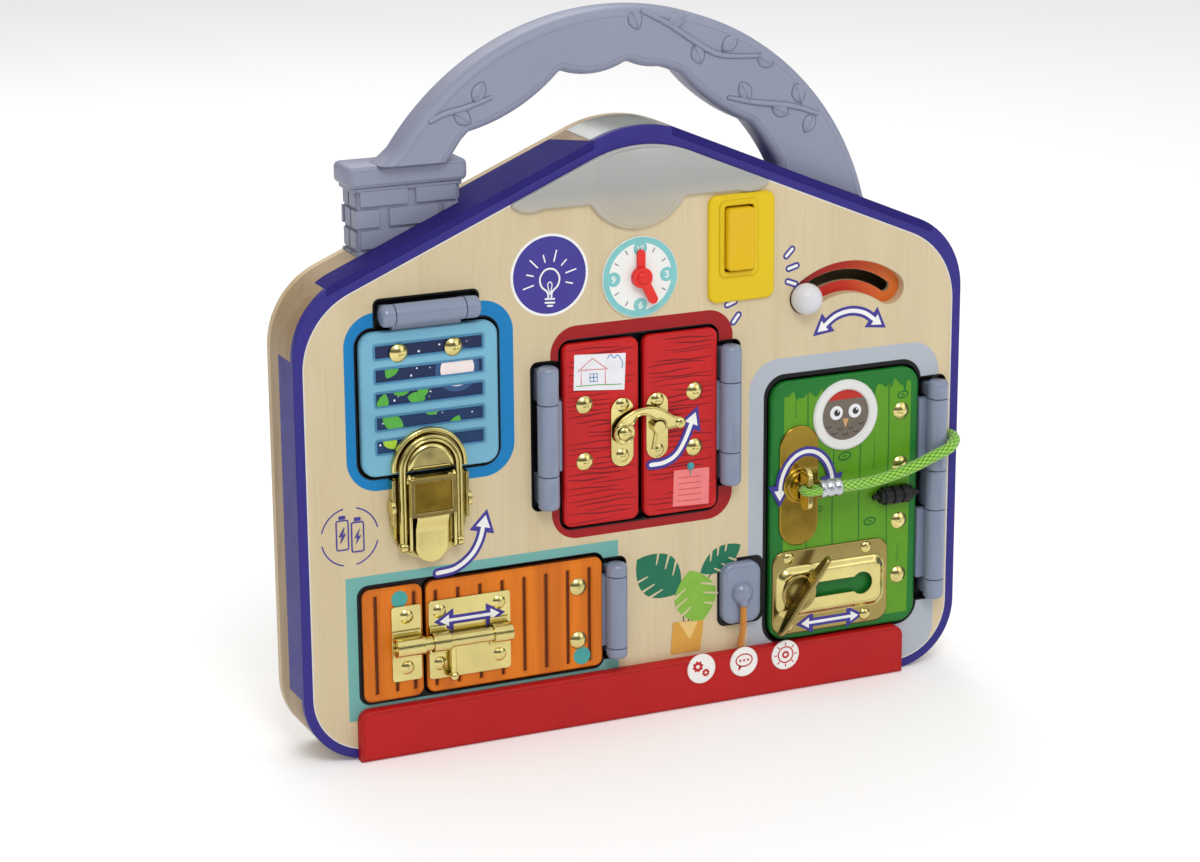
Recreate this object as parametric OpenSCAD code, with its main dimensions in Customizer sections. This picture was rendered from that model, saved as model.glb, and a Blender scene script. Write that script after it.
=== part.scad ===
// Busy board: a house-shaped wooden play board with doors, latches and a carry handle.
// X runs to the right, Y into the board from its front, Z up from the face it stands on.
// The origin is the centre of that base face, half way through the board's depth.

/* [Body] */
// Half of the board's width over its painted rim
half_w = 154; // [152:0.5:156]
// Depth of the board from front face to back face
body_d = 32; // [30:1:36]
// Width of the painted rim along the sides and base
rim_w = 4; // [3:0.5:5]
// Depth of the painted rim behind the front face
rim_t = 3; // [2:0.5:4]
// Thickness of the front panel
panel_t = 5; // [4.5:0.5:5.5]
// Thickness of the back panel
back_t = 4; // [3:0.5:5]
// Thickness of the wooden frame between the panels
wall_t = 11; // [9:1:13]
// How far the painted side boards reach back from the front face
side_board_d = 18; // [12:1:24]
// Thickness of the painted side boards
side_board_t = 1.5; // [1:0.5:2]
// Radius of the corners under the eaves
eave_r = 35; // [30:1:40]
// Radius of the corners at the base
base_r = 29; // [24:1:32]

/* [Roof] */
// Height at which the two roof slopes would meet
apex_z = 261.4; // [258:0.2:264]
// Slope of the roof
roof_a = 22.9; // [21:0.1:24]
// Radius of the rounded peak
peak_r = 52; // [46:1:58]
// Height of the painted rim below the roof slope
roof_rim = 7.4; // [6:0.2:8]
// Thickness of the roof boards
roof_t = 3.4; // [2.6:0.1:4]
// Distance of the roof boards' outer ends from the middle
roof_end = 139; // [134:1:140]

/* [Handle] */
// Radius of the arch's outer edge
arch_out = 119.3; // [118:0.1:120]
// Radius of the arch's inner edge
arch_in = 91.9; // [91:0.1:93]
// Depth of the handle from front to back
handle_d = 17; // [14:1:19]
// Bevel along the handle's outer edges
handle_bevel = 2; // [1:0.5:3]

/* [Chimney] */
// Depth of the chimney
chimney_d = 15.5; // [13:0.5:16]
// Height of the chimney cap's underside
cap_z = 238.5; // [237:0.5:240]
// Height of the chimney cap
cap_h = 9; // [8:0.5:10]
// Distance from one row of bricks to the next
brick_row = 8.7; // [8.2:0.1:9]

/* [Doors] */
// Thickness of every door
door_t = 4; // [3.5:0.1:4]
// How far the doors stand out from the front face
door_out = 2; // [1.8:0.1:2]
// Gap round the edge of a door
door_gap = 1.1; // [0.9:0.1:1.3]
// Radius of the doors' corners
door_r = 3; // [2:0.5:4]

/* [Hinges] */
// Radius of the fixed hinge knuckles
knuckle_r = 4.6; // [4.2:0.1:4.8]
// How far the hinge pins stand in front of the face
hinge_out = 3.6; // [3.4:0.1:3.8]
// Radius of the hinge pins
pin_r = 1.5; // [1.3:0.1:1.7]
// Clearance of a pin or shaft in its bore
fit = 0.05; // [0.04:0.01:0.08]
// Radius of the rivet heads on the doors
rivet_r = 4; // [3.6:0.1:4.2]
// Height of the rivet heads
rivet_h = 1.8; // [1.4:0.1:2]

/* [Toggle latch] */
// Width of the latch base
latch_w = 33.6; // [33:0.2:34.4]
// Radius of the middle line of the bail's closed end
bail_r = 12.4; // [12:0.1:12.6]
// Width of the bail's strip
bail_w = 2.8; // [2.2:0.1:3]

/* [Barrel bolt] */
// Radius of the bolt's rod
bolt_r = 3.1; // [2.9:0.05:3.15]
// Length of the bolt's rod
bolt_l = 49; // [47:0.5:50]

/* [Lock and slide plate] */
// Radius of the ring round the key
lock_r = 8; // [7:0.5:8.5]
// Height of the key's bow
bow_h = 19; // [17:0.5:20]
// Distance of the slide plate's round hole from the thumb piece
slide_l = 31.5; // [30:0.5:32]
// Length of the thumb piece's wing
wing_l = 40; // [36:1:40]

/* [Clock, slider and switch] */
// Radius of the clock dial
dial_r = 17.2; // [16:0.2:18]
// Radius of the arc along which the ball slides
slot_arc = 34.1; // [33.5:0.1:34.5]
// Angle of that arc to each side of its middle
slot_a = 37.6; // [36:0.2:38]
// Radius of the sliding ball
ball_r = 6.8; // [6:0.1:6.9]

/* [Hidden] */
// Faces of round parts; above 12 they are true cylinders and spheres
$fn = 64;
// Colours
purple = "#3d3582";
wood = "#d4b888";
cream = "#d9c69c";
steel = "#96a4b6";
brass = "#c9a63c";
sky = "#7db4c8";
red = "#d42d2d";
orange = "#cd6914";
green = "#69a523";
// Front, back and inner faces of the doors, measured from the front face of the board
door_front = -door_out;
door_back = door_t - door_out;
board_front = panel_t;
board_back = panel_t + 2;
// Thickness of pressed brass plates, and how thick the hinge leaves are
sheet = 0.8;
leaf_t = 1.2;
leaf_back = door_back + leaf_t;
// Hinges: where each axis runs, the stretch of the whole barrel and its moving stretches
shutter_z = 189.4;
red_left_x = -44.8;
red_right_x = 40;
orange_x = -13.9;
green_x = 141.6;
shutter_barrel = [-117.8, -75];
shutter_moving = [[-112.3, -81.4]];
red_barrel = [98.5, 160.2];
red_moving = [[113.2, 144.4]];
orange_barrel = [28.2, 70.7];
orange_moving = [[32.8, 65.2]];
green_barrel = [32.4, 133];
green_moving = [[41.4, 74.2], [92, 125]];
// Gap between neighbouring knuckles
knuckle_gap = 0.3;
// Doors: left, right, bottom and top edges
shutter_box = [-126.3, -66.3, 122, 182.5];
red_left_box = [-36.9, -2.5, 88.6, 168];
red_right_box = [0, 34.4, 88.6, 168];
orange_box = [-100.1, -19.9, 25.2, 73.9];
green_box = [60.4, 132.9, 22.8, 140.2];
shutter_r = 6;
green_r = 8;
// Places of the rivets on each door
shutter_rivet_at = [[-109.6, 173.1], [-85.7, 173.1]];
red_left_rivet_at = [[-27.5, 141.4], [-27.5, 116.7]];
red_right_rivet_at = [[23.6, 141.4], [23.6, 116.7]];
orange_rivet_at = [[-31.1, 61.8], [-31.1, 37.9]];
green_rivet_at = [for (z = [45.1, 70.3, 96.2, 120.6]) [124.3, z]];
// Lever of the toggle latch: its middle, its pivot and the bail's pivot on it
latch_x = -97.8;
lever_z = 119.6;
lever_out = 4.2;
bail_z = 91.2;
bail_top_z = 124.2;
// Hook latch: the pivot of the hook and the stud that it drops over
hook_x = -10.5;
hook_z = 127.7;
stud_x = 5.4;
stud_z = 128.7;
// Barrel bolt: height of the rod, its distance from the face and its left end
bolt_z = 48.6;
bolt_out = 6.1;
bolt_x = -114.5;
// Lock, slide plate and thumb piece on the green door
lock_x = 73.8;
lock_z = 93.6;
thumb_x = 73;
thumb_z = 45;
wing_a = 53.8;
// Clock, rocker and slider
clock_x = -1.2;
clock_z = 193.4;
rocker_x = 44.4;
rocker_z = 205.6;
slot_x = 97.6;
slot_z = 149;
// Lamp: the gap in the roof that the dome fills
lamp_x = [-22, 14];
// Cords: the tether of the strike box and the cord of the key
tether_r = 1.4;
cord_r = 2.5;
tether_path = [[45.7, -5.6, 45], [45.7, -5.6, 41], [45.7, -5.6, 37], [45.7, -5.3, 33],
               [45.7, -4.4, 29.5], [45.7, -3.3, 26.5], [45.7, -2.7, 23.5],
               [45.7, -2.6, 21], [45.7, -2.6, 17], [45.7, -2.6, 13]];
cord_path = [[86.5, -12.4, 93.6], [93, -12.2, 93.3], [100, -11.6, 93.1], [107, -11.1, 93.4],
             [114, -10.9, 94.4], [121, -11.1, 96], [128, -11.5, 98.2], [134, -11.8, 100.5],
             [139, -11.8, 102.2], [143.5, -11.2, 103.6], [146.6, -9.3, 104.7],
             [149, -6.6, 105.6], [150.2, -3.1, 106.1], [150.4, -0.5, 106.2],
             [150.4, 2, 106.2]];
// Places of the countersunk screws through the back panel
screw_at = [for (s = [-1, 1], p = [[148.5, 45], [148.5, 150], [70, 225.4], [70, 5.5]])
            [s * p[0], p[1]]];

// Moves a part from the frame of the board's front face to the board's middle
module face() {
    translate([0, -body_d / 2, 0]) children();
}

// Flat shape in X and Z, thick from y0 to y1
module plate(y0, y1) {
    translate([0, y1, 0]) rotate([90, 0, 0]) linear_extrude(height = y1 - y0) children();
}

// Rectangle with round corners between x0, x1, z0 and z1
module rr(x0, x1, z0, z1, r) {
    translate([x0 + r, z0]) square([x1 - x0 - 2 * r, z1 - z0]);
    translate([x0, z0 + r]) square([x1 - x0, z1 - z0 - 2 * r]);
    for (x = [x0 + r, x1 - r], z = [z0 + r, z1 - r]) translate([x, z]) circle(r = r);
}

// Upright shape with two round ends of radius r
module stadium(x, z0, z1, r) {
    translate([x - r, z0 + r]) square([2 * r, z1 - z0 - 2 * r]);
    for (z = [z0 + r, z1 - r]) translate([x, z]) circle(r = r);
}

// Cylinders along X, Y and Z
module rod_x(x0, x1, y, z, r) {
    translate([x0, y, z]) rotate([0, 90, 0]) cylinder(h = x1 - x0, r = r);
}

module rod_y(x, z, y0, y1, r) {
    translate([x, y0, z]) rotate([-90, 0, 0]) cylinder(h = y1 - y0, r = r);
}

module rod_z(x, y, z0, z1, r) {
    translate([x, y, z0]) cylinder(h = z1 - z0, r = r);
}

// Low dome of radius r and height h that stands forward from the plane y
module dome(x, z, y, r, h) {
    ball = (r * r + h * h) / (2 * h);
    translate([x, y, z]) rotate([90, 0, 0]) intersection() {
        translate([0, 0, h - ball]) sphere(r = ball);
        cylinder(h = h, r = r);
    }
}

// House outline: half width w, meeting height ap of the slopes, base height zb, and the
// radii at the eaves, the base and the peak
module house(w, ap, zb, re, rb, rp) {
    ez = ap - (w - re) * tan(roof_a) - re / cos(roof_a);
    pz = ap - rp / cos(roof_a);
    sx = sin(roof_a);
    sz = cos(roof_a);
    polygon([[w - rb, zb], [w, zb + rb], [w, ez], [w - re + re * sx, ez + re * sz],
             [rp * sx, pz + rp * sz], [-rp * sx, pz + rp * sz],
             [re - w - re * sx, ez + re * sz], [-w, ez], [-w, zb + rb], [rb - w, zb]]);
    translate([0, pz]) circle(r = rp);
    for (s = [-1, 1]) {
        translate([s * (w - re), ez]) circle(r = re);
        translate([s * (w - rb), zb + rb]) circle(r = rb);
    }
}

module outer_outline() {
    house(half_w, apex_z, 0, eave_r, base_r, peak_r);
}

module inner_outline() {
    house(half_w - rim_w, apex_z - roof_rim, rim_w, eave_r - 1, base_r - 4, peak_r + 6);
}

module cavity_outline() {
    house(half_w - wall_t, apex_z - 2 * wall_t, wall_t, eave_r - 9, base_r - 9, peak_r);
}

// Opening behind a door, and the recess round a hinge barrel between x0 and x1
module opening(box, r) {
    g = door_gap;
    plate(-1, panel_t + 1) rr(box[0] - g, box[1] + g, box[2] - g, box[3] + g, r + g);
}

module pocket(x0, x1, span) {
    plate(-1, panel_t + 1) rr(x0, x1, span[0] - 1, span[1] + 1, 2.5);
}

// Fixed knuckles of an upright hinge: the stretches of the barrel that nothing moving fills
module fixed_knuckles(x, span, moving) {
    edges = concat([span[0]], [for (m = moving) each m], [span[1]]);
    last = len(edges) - 2;
    difference() {
        for (i = [0 : 2 : last]) knuckle(x, edges[i], edges[i + 1], i == 0, i == last);
        rod_z(x, -hinge_out, span[0] + 2, span[1] - 2, pin_r + fit);
    }
}

// One fixed knuckle with its foot on the inner board; low and high say which ends are bevelled
module knuckle(x, z0, z1, low, high) {
    b = 1.6;
    a = low ? z0 + b : z0;
    c = high ? z1 - b : z1;
    translate([x, -hinge_out, a]) cylinder(h = c - a, r = knuckle_r);
    if (low) translate([x, -hinge_out, z0]) cylinder(h = b, r1 = knuckle_r - b, r2 = knuckle_r);
    if (high) translate([x, -hinge_out, c]) cylinder(h = b, r1 = knuckle_r, r2 = knuckle_r - b);
    translate([x - 3.4, -hinge_out, a]) cube([6.8, hinge_out + board_front, c - a]);
}

// Moving leaf of an upright hinge: knuckles, webs up to the door's edge and the plate
// behind the door; side is 1 where the door lies toward +X
module leaf(x, moving, side, web, reach, rivets) {
    difference() {
        for (m = moving) {
            z0 = m[0] + knuckle_gap;
            h = m[1] - m[0] - 2 * knuckle_gap;
            translate([x, -hinge_out, z0]) cylinder(h = h, r = knuckle_r);
            translate([min(x, x + side * web), -1, z0]) cube([web, leaf_back + 1, h]);
            translate([min(x, x + side * reach), door_back, z0]) cube([reach, leaf_t, h]);
        }
        rod_z(x, -hinge_out, moving[0][0] - 1, moving[len(moving) - 1][1] + 1, pin_r + fit);
        rivet_holes(rivets);
    }
}

// Turns an upright hinge into a level one: X becomes the height, Z the place along X
module level() {
    rotate([0, 90, 0]) children();
}

module rivet_holes(at) {
    for (p = at) rod_y(p[0], p[1], -9, 9, pin_r + fit);
}

// Rivets through a door and its hinge leaf: domed head, shank and a flat tail
module rivets(at) {
    for (p = at) {
        dome(p[0], p[1], door_front, rivet_r, rivet_h);
        rod_y(p[0], p[1], door_front, leaf_back + 0.8, pin_r);
        rod_y(p[0], p[1], leaf_back, leaf_back + 0.8, 2.6);
    }
}

// Tube of radius r with n sides along a list of points
function unit(v) = v / norm(v);
function ahead(p, i) = unit(p[min(i + 1, len(p) - 1)] - p[max(i - 1, 0)]);
function ring(c, t, r, n) =
    let (u = unit(cross(t, abs(t[0]) > 0.8 ? [0, 1, 0] : [1, 0, 0])), v = cross(t, u))
    [for (k = [0 : n - 1]) c + r * cos(360 * k / n) * u + r * sin(360 * k / n) * v];
module tube(p, r, n) {
    m = len(p);
    points = [for (i = [0 : m - 1]) each ring(p[i], ahead(p, i), r, n)];
    sides = [for (i = [0 : m - 2], k = [0 : n - 1])
        [i * n + k, (i + 1) * n + k, (i + 1) * n + (k + 1) % n, i * n + (k + 1) % n]];
    first = [for (k = [0 : n - 1]) k];
    last = [for (k = [n - 1 : -1 : 0]) (m - 1) * n + k];
    polyhedron(points, concat(sides, [first, last]), convexity = 4);
}

// Shape in Y and Z between x0 and x1
module side(x0, x1) {
    translate([x0, 0, 0]) rotate([90, 0, 90]) linear_extrude(height = x1 - x0) children();
}

// ---- Body ----

// Roof boards, or with extra height the cut-outs that hold them
module roof_board_solids(extra) {
    drop = roof_t / cos(roof_a);
    top = function(x) apex_z - abs(x) * tan(roof_a);
    plans = [[[-roof_end, 0], [-21.5, 0], [-29.5, 27.7], [-76, 27.7], [-76, 14], [-roof_end, 14]],
             [[roof_end, 0], [14, 0], [20, 27.7], [roof_end, 27.7]]];
    for (i = [0, 1]) {
        e = (2 * i - 1) * roof_end;
        n = (2 * i - 1) * 10;
        intersection() {
            plate(0, 27.7) intersection() {
                polygon([[e, top(e) + extra], [n, top(n) + extra], [n, top(n) - drop],
                         [e, top(e) - drop]]);
                if (extra == 0) outer_outline();
                else square(600, center = true);
            }
            translate([0, 0, 180]) linear_extrude(height = 90) polygon(plans[i]);
        }
    }
}

module roof_boards() {
    color(purple) face() roof_board_solids(0);
}

// Painted boards let into the sides of the frame
module side_boards() {
    for (s = [-1, 1]) translate([s * (half_w - side_board_t / 2), side_board_d / 2, 101])
        cube([side_board_t, side_board_d, 144], center = true);
}

module rim_band() {
    color(purple) face() difference() {
        union() {
            plate(0, rim_t) difference() {
                outer_outline();
                inner_outline();
            }
            side_boards();
        }
        roof_board_solids(6);
        cord_hole();
    }
}

module cord_hole() {
    rod_y(150.4, 106.2, -1, 2, cord_r + fit);
}

// Room for the switch's box
module rocker_well() {
    translate([rocker_x - 9.2, -1, rocker_z - 16.7]) cube([18.4, 15, 33.4]);
}

module screw_holes() {
    for (p = screw_at) rod_y(p[0], p[1], 18, 33, 1.5);
}

module frame_shell() {
    color(wood) face() difference() {
        plate(rim_t, body_d - back_t) outer_outline();
        plate(rim_t - 1, panel_t) inner_outline();
        plate(rim_t, body_d) cavity_outline();
        side_boards();
        roof_board_solids(6);
        translate([lamp_x[0], rim_t - 1, 238]) cube([lamp_x[1] - lamp_x[0], 30, 40]);
        rod_z(-4, 15, 228, 240, 2);
        rocker_well();
        screw_holes();
    }
}

module front_panel() {
    color(cream) face() difference() {
        plate(0, panel_t) inner_outline();
        opening(shutter_box, shutter_r);
        opening(red_left_box + [0, 4, 0, 0], door_r);
        opening(red_right_box, door_r);
        opening(orange_box, door_r);
        opening(green_box, green_r);
        level() pocket(-shutter_z - 5.7, -shutter_box[3], shutter_barrel);
        pocket(red_left_x - 5.7, red_left_box[0], red_barrel);
        pocket(red_right_box[1], red_right_x + 5.7, red_barrel);
        pocket(orange_box[1], orange_x + 5.7, orange_barrel);
        pocket(green_box[1], green_x + 5.4, green_barrel);
        plate(-1, panel_t + 1) slot_band(ball_r + 0.3);
        rocker_well();
        cord_hole();
    }
}

module inner_board() {
    color(wood) face() difference() {
        plate(board_front, board_back) intersection() {
            translate([-144, 12]) square([288, 180]);
            cavity_outline();
        }
        plate(board_front - 1, board_back + 1) slot_band(2.4);
        rocker_well();
    }
}

module back_panel() {
    color(wood) face() difference() {
        union() {
            plate(body_d - back_t, body_d) outer_outline();
            plate(body_d - 16, body_d - back_t) rr(-22, 22, 132, 168, 3);
        }
        plate(body_d - 1.8, body_d + 1) rr(-26, 26, 128, 172, 4);
        plate(body_d - 14, body_d) rr(-19, 19, 135, 165, 2);
        for (p = screw_at) rod_y(p[0], p[1], body_d - 2, body_d + 1, 3.2);
        screw_holes();
        rod_y(0, 130, body_d - 12, body_d, 1.2);
    }
}

module battery_cover() {
    color(steel) face() difference() {
        plate(body_d - 1.8, body_d) rr(-25.8, 25.8, 128.2, 171.8, 4);
        rod_y(0, 130, body_d - 3, body_d + 1, 1.2);
    }
}

// Countersunk wood screws with their cross slots, and the small one of the battery cover
module body_screws() {
    color(steel) face() {
        for (p = screw_at) difference() {
            union() {
                rod_y(p[0], p[1], 19, body_d - 1, 1.45);
                rod_y(p[0], p[1], body_d - 2, body_d, 3.1);
            }
            translate([p[0] - 2, body_d - 0.8, p[1] - 0.4]) cube([4, 2, 0.8]);
            translate([p[0] - 0.4, body_d - 0.8, p[1] - 2]) cube([0.8, 2, 4]);
        }
        rod_y(0, 130, body_d - 11, body_d - 0.2, 1.1);
    }
}

module plinth_band() {
    color("#b4201a") face() difference() {
        plate(-5, 0) {
            rr(-131, 126, 0, 22, 5);
            translate([-131, 0]) square([257, 8]);
        }
        rod_z(45.7, -2.6, 12.5, 23, tether_r + 0.1);
    }
}

// ---- Chimney and handle ----

module chimney() {
    x0 = -119.5;
    w = 43.5;
    y0 = 14.5;
    color(steel) face() intersection() {
        plate(y0 - 1, y0 + chimney_d + 1) polygon([[x0 - 2, apex_z + (x0 - 2) * tan(roof_a)],
            [x0 - 2, cap_z], [x0 + w + 2, cap_z], [x0 + w + 2, apex_z + (x0 + w + 2) * tan(roof_a)]]);
        union() {
            translate([x0, y0, 200]) cube([w, chimney_d, 60]);
            for (i = [0 : 3]) brick_course(x0, y0, w, 230.8 - i * brick_row, i % 2);
        }
    }
}

// One row of raised bricks round the chimney, shifted by half a brick where odd is 1
module brick_course(x0, y0, w, z, odd) {
    starts = odd == 1 ? [[-1, 10], [13.4, 21], [37, 7.5]] : [[1, 20.5], [25, 17.5]];
    for (b = starts) {
        translate([x0 + b[0], y0 - 1, z]) cube([b[1], 2, 7.2]);
        translate([x0 + b[0], y0 + chimney_d - 1, z]) cube([b[1], 2, 7.2]);
    }
    for (x = [x0 - 1, x0 + w - 1], k = [0, 1])
        translate([x, y0 + (odd == 1 ? -1 : 1) + k * 7.4, z]) cube([2, 6, 7.2]);
}

module chimney_cap() {
    color(steel) face() plate(12, body_d) rr(-123.5, -72.5, cap_z, cap_z + cap_h, 2.5);
}

// Arch with finger grips under it, a foot on the cap and a foot on the roof
module handle() {
    y0 = 8;
    b = handle_bevel;
    color(steel) face() {
        difference() {
            translate([-5.2, y0, 185.5]) rotate([-90, 0, 0]) {
                cylinder(h = b, r1 = arch_out - b, r2 = arch_out);
                translate([0, 0, b]) cylinder(h = handle_d - 2 * b, r = arch_out);
                translate([0, 0, handle_d - b]) cylinder(h = b, r1 = arch_out, r2 = arch_out - b);
            }
            plate(y0 - 1, y0 + handle_d + 1) {
                difference() {
                    circle_at(-13.7, 190.8, arch_in);
                    circle_at(-89.4, 337.9, 81.3);
                    circle_at(-19, 314, 36);
                    circle_at(12, 307.5, 28.7);
                    circle_at(87.7, 331.3, 85.9);
                }
                polygon([[-200, 0], [-200, 247.5], [-60, 247.5], [0, apex_z],
                         [200, apex_z - 200 * tan(roof_a)], [200, 0]]);
            }
        }
        plate(y0, y0 + handle_d) polygon([[-112, 247.5], [-79, 247.5], [-83, 253.5], [-103, 254]]);
    }
}

module circle_at(x, z, r) {
    translate([x, z]) circle(r = r, $fn = 128);
}

// ---- Lamp, switch, clock and slider ----

module cloud_cover() {
    puffs = [[-50, 239, 14], [-33, 241, 15], [33, 241, 15], [50, 239, 14], [-2, 239.5, 25.5]];
    color("#eceae4") face() {
        plate(-1.6, 0) intersection() {
            inner_outline();
            union() {
                for (p = puffs) circle_at(p[0], p[1], p[2]);
                translate([-50, 226]) square([100, 33]);
            }
        }
        intersection() {
            plate(-8, -1) inner_outline();
            dome(-2, 235, -1.6, 20, 3.4);
        }
    }
}

// Hollow lamp cover in the gap of the roof
module lamp_dome() {
    w = lamp_x[1] - lamp_x[0];
    color("#eef0ea") face() difference() {
        intersection() {
            plate(rim_t, body_d - back_t) outer_outline();
            translate([lamp_x[0] + 0.2, rim_t, 238]) cube([w - 0.4, 26, 40]);
        }
        plate(rim_t - 1, panel_t + 0.05) inner_outline();
        translate([lamp_x[0] + 2.5, rim_t + 2, 237]) cube([w - 5, body_d - back_t - rim_t - 4, 14]);
    }
}

// Circuit board with three small lamps inside the cover
module lamp_board() {
    color("#2f7a45") face() {
        translate([-17, 8, 238]) cube([26, 14, 1.6]);
        for (x = [-13, -4, 5]) {
            translate([x, 15, 239.6]) cylinder(h = 4, r = 2.5);
            translate([x, 15, 243.6]) sphere(r = 2.5);
        }
    }
}

module switch_plate() {
    color("#daba14") face() difference() {
        union() {
            plate(-1.5, 0) rr(30.5, 61.5, 178.3, 224.6, 4);
            translate([rocker_x - 9, -1, rocker_z - 16.5]) cube([18, 14, 33]);
        }
        translate([rocker_x - 6.8, -3, rocker_z - 14.2]) cube([13.6, 14, 28.4]);
        rod_x(rocker_x - 8.6, rocker_x + 8.6, 1.5, rocker_z, pin_r + fit);
    }
}

module switch_rocker() {
    color("#d7a51e") face() {
        side(rocker_x - 6.4, rocker_x + 6.4) polygon([[-5, rocker_z - 13.4], [-4, rocker_z],
            [-5, rocker_z + 13.4], [3, rocker_z + 13.4], [6, rocker_z], [3, rocker_z - 13.4]]);
        rod_x(rocker_x - 8.4, rocker_x + 8.4, 1.5, rocker_z, pin_r);
    }
}

module clock_dial() {
    color("#f0efe9") face() {
        rod_y(clock_x, clock_z, -1, 0, dial_r);
        rod_y(clock_x, clock_z, -4.6, 0, 1.2);
        dome(clock_x, clock_z, -4.2, 2.6, 1);
    }
}

// Clock hand from y0 to y1, of length l, turned by the angle a from noon
module hand(y0, y1, w, l, a) {
    translate([clock_x, 0, clock_z]) rotate([0, a, 0]) difference() {
        union() {
            rod_y(0, 0, y0, y1, 4.4);
            plate(y0, y1) stadium(0, -w / 2, l, w / 2);
        }
        rod_y(0, 0, y0 - 1, y1 + 1, 1.2 + fit);
    }
}

module hour_hand() {
    color(red) face() hand(-2.4, -1.3, 3.6, 11.8, 0);
}

module minute_hand() {
    color(red) face() hand(-3.9, -2.7, 4, 12.6, 153);
}

// Arc-shaped band of half width h along which the ball slides
module slot_band(h) {
    far = 2 * slot_arc;
    intersection() {
        difference() {
            circle_at(slot_x, slot_z, slot_arc + h);
            circle_at(slot_x, slot_z, slot_arc - h);
        }
        translate([slot_x, slot_z]) polygon([[0, 0], [-far * sin(slot_a), far * cos(slot_a)],
            [0, 2 * far], [far * sin(slot_a), far * cos(slot_a)]]);
    }
    for (s = [-1, 1])
        circle_at(slot_x + s * slot_arc * sin(slot_a), slot_z + slot_arc * cos(slot_a), h);
}

module slider_ball() {
    x = slot_x - slot_arc * sin(slot_a);
    z = slot_z + slot_arc * cos(slot_a);
    color("#d8d8da") face() {
        translate([x, -2, z]) sphere(r = ball_r);
        rod_y(x, z, 3, 9, 2);
        rod_y(x, z, 7.4, 9, 4.6);
    }
}

// ---- Hinges ----

module hinge_brackets() {
    color(steel) face() {
        level() fixed_knuckles(-shutter_z, shutter_barrel, shutter_moving);
        fixed_knuckles(red_left_x, red_barrel, red_moving);
        fixed_knuckles(red_right_x, red_barrel, red_moving);
        fixed_knuckles(orange_x, orange_barrel, orange_moving);
        fixed_knuckles(green_x, green_barrel, green_moving);
    }
}

module hinge_pins() {
    color("#b8bcc2") face() {
        level() hinge_pin(-shutter_z, shutter_barrel);
        hinge_pin(red_left_x, red_barrel);
        hinge_pin(red_right_x, red_barrel);
        hinge_pin(orange_x, orange_barrel);
        hinge_pin(green_x, green_barrel);
    }
}

module hinge_pin(x, span) {
    rod_z(x, -hinge_out, span[0] + 2, span[1] - 2, pin_r);
}

// ---- Window shutter with its half of the toggle latch ----

// Door board with its rivet holes
module door_board(box, r, rivets) {
    difference() {
        plate(door_front, door_back) rr(box[0], box[1], box[2], box[3], r);
        rivet_holes(rivets);
    }
}

module window_shutter() {
    color(sky) face() difference() {
        door_board(shutter_box, shutter_r, shutter_rivet_at);
        for (i = [0 : 4]) plate(door_front - 1, door_front + 0.6)
            rr(-120.3, -72.3, 170.8 - i * 10, 177.4 - i * 10, 1);
    }
}

module shutter_leaf() {
    at = [for (p = shutter_rivet_at) [-p[1], p[0]]];
    web = shutter_z - shutter_box[3] - 0.1;
    color(steel) face() level() leaf(-shutter_z, shutter_moving, 1, web, 20.5, at);
}

module shutter_rivets() {
    color(brass) face() rivets(shutter_rivet_at);
}

// Half-round strike: flange, rim and the boss that the bail hooks over
module latch_strike() {
    y = door_front;
    color(brass) face() intersection() {
        translate([latch_x - 20, -10, bail_top_z - 1]) cube([40, 10, 20]);
        union() {
            rod_y(latch_x, bail_top_z, y - sheet, y, 16.6);
            difference() {
                rod_y(latch_x, bail_top_z, y - 2.4, y, 16.6);
                rod_y(latch_x, bail_top_z, y - 3, y + 1, 14.9);
            }
            translate([latch_x, y, bail_top_z]) rotate([90, 0, 0]) cylinder(h = 4, r1 = 10.6, r2 = 8.2);
        }
    }
}

// ---- Toggle latch on the board ----

module latch_base() {
    w = latch_w / 2;
    color(brass) face() {
        difference() {
            union() {
                plate(-1.2, 0) {
                    circle_at(latch_x, 101, w);
                    translate([latch_x - w, 101]) square([latch_w, 19.3]);
                }
                for (s = [-1, 1]) {
                    translate([latch_x + s * (w - 0.6), -2.8, 110.6]) cube([1.2, 3.6, 19.4], center = true);
                    rod_x(latch_x + s * w - 0.8, latch_x + s * w + 0.8, -3.2, 108.6, 3.2);
                    translate([latch_x + s * 8 - 0.6, -lever_out, lever_z - 1.8]) cube([1.2, 3.4, 3.6]);
                    rod_x(latch_x + s * 8 - 0.6, latch_x + s * 8 + 0.6, -lever_out, lever_z, 1.8);
                }
            }
            rod_x(latch_x - 10, latch_x + 10, -lever_out, lever_z, 0.9 + fit);
            translate([latch_x - 20, 0, 100]) cube([40, 3, 20]);
        }
        rod_x(latch_x - 10.4, latch_x + 10.4, -lever_out, lever_z, 0.9);
    }
}

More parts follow.
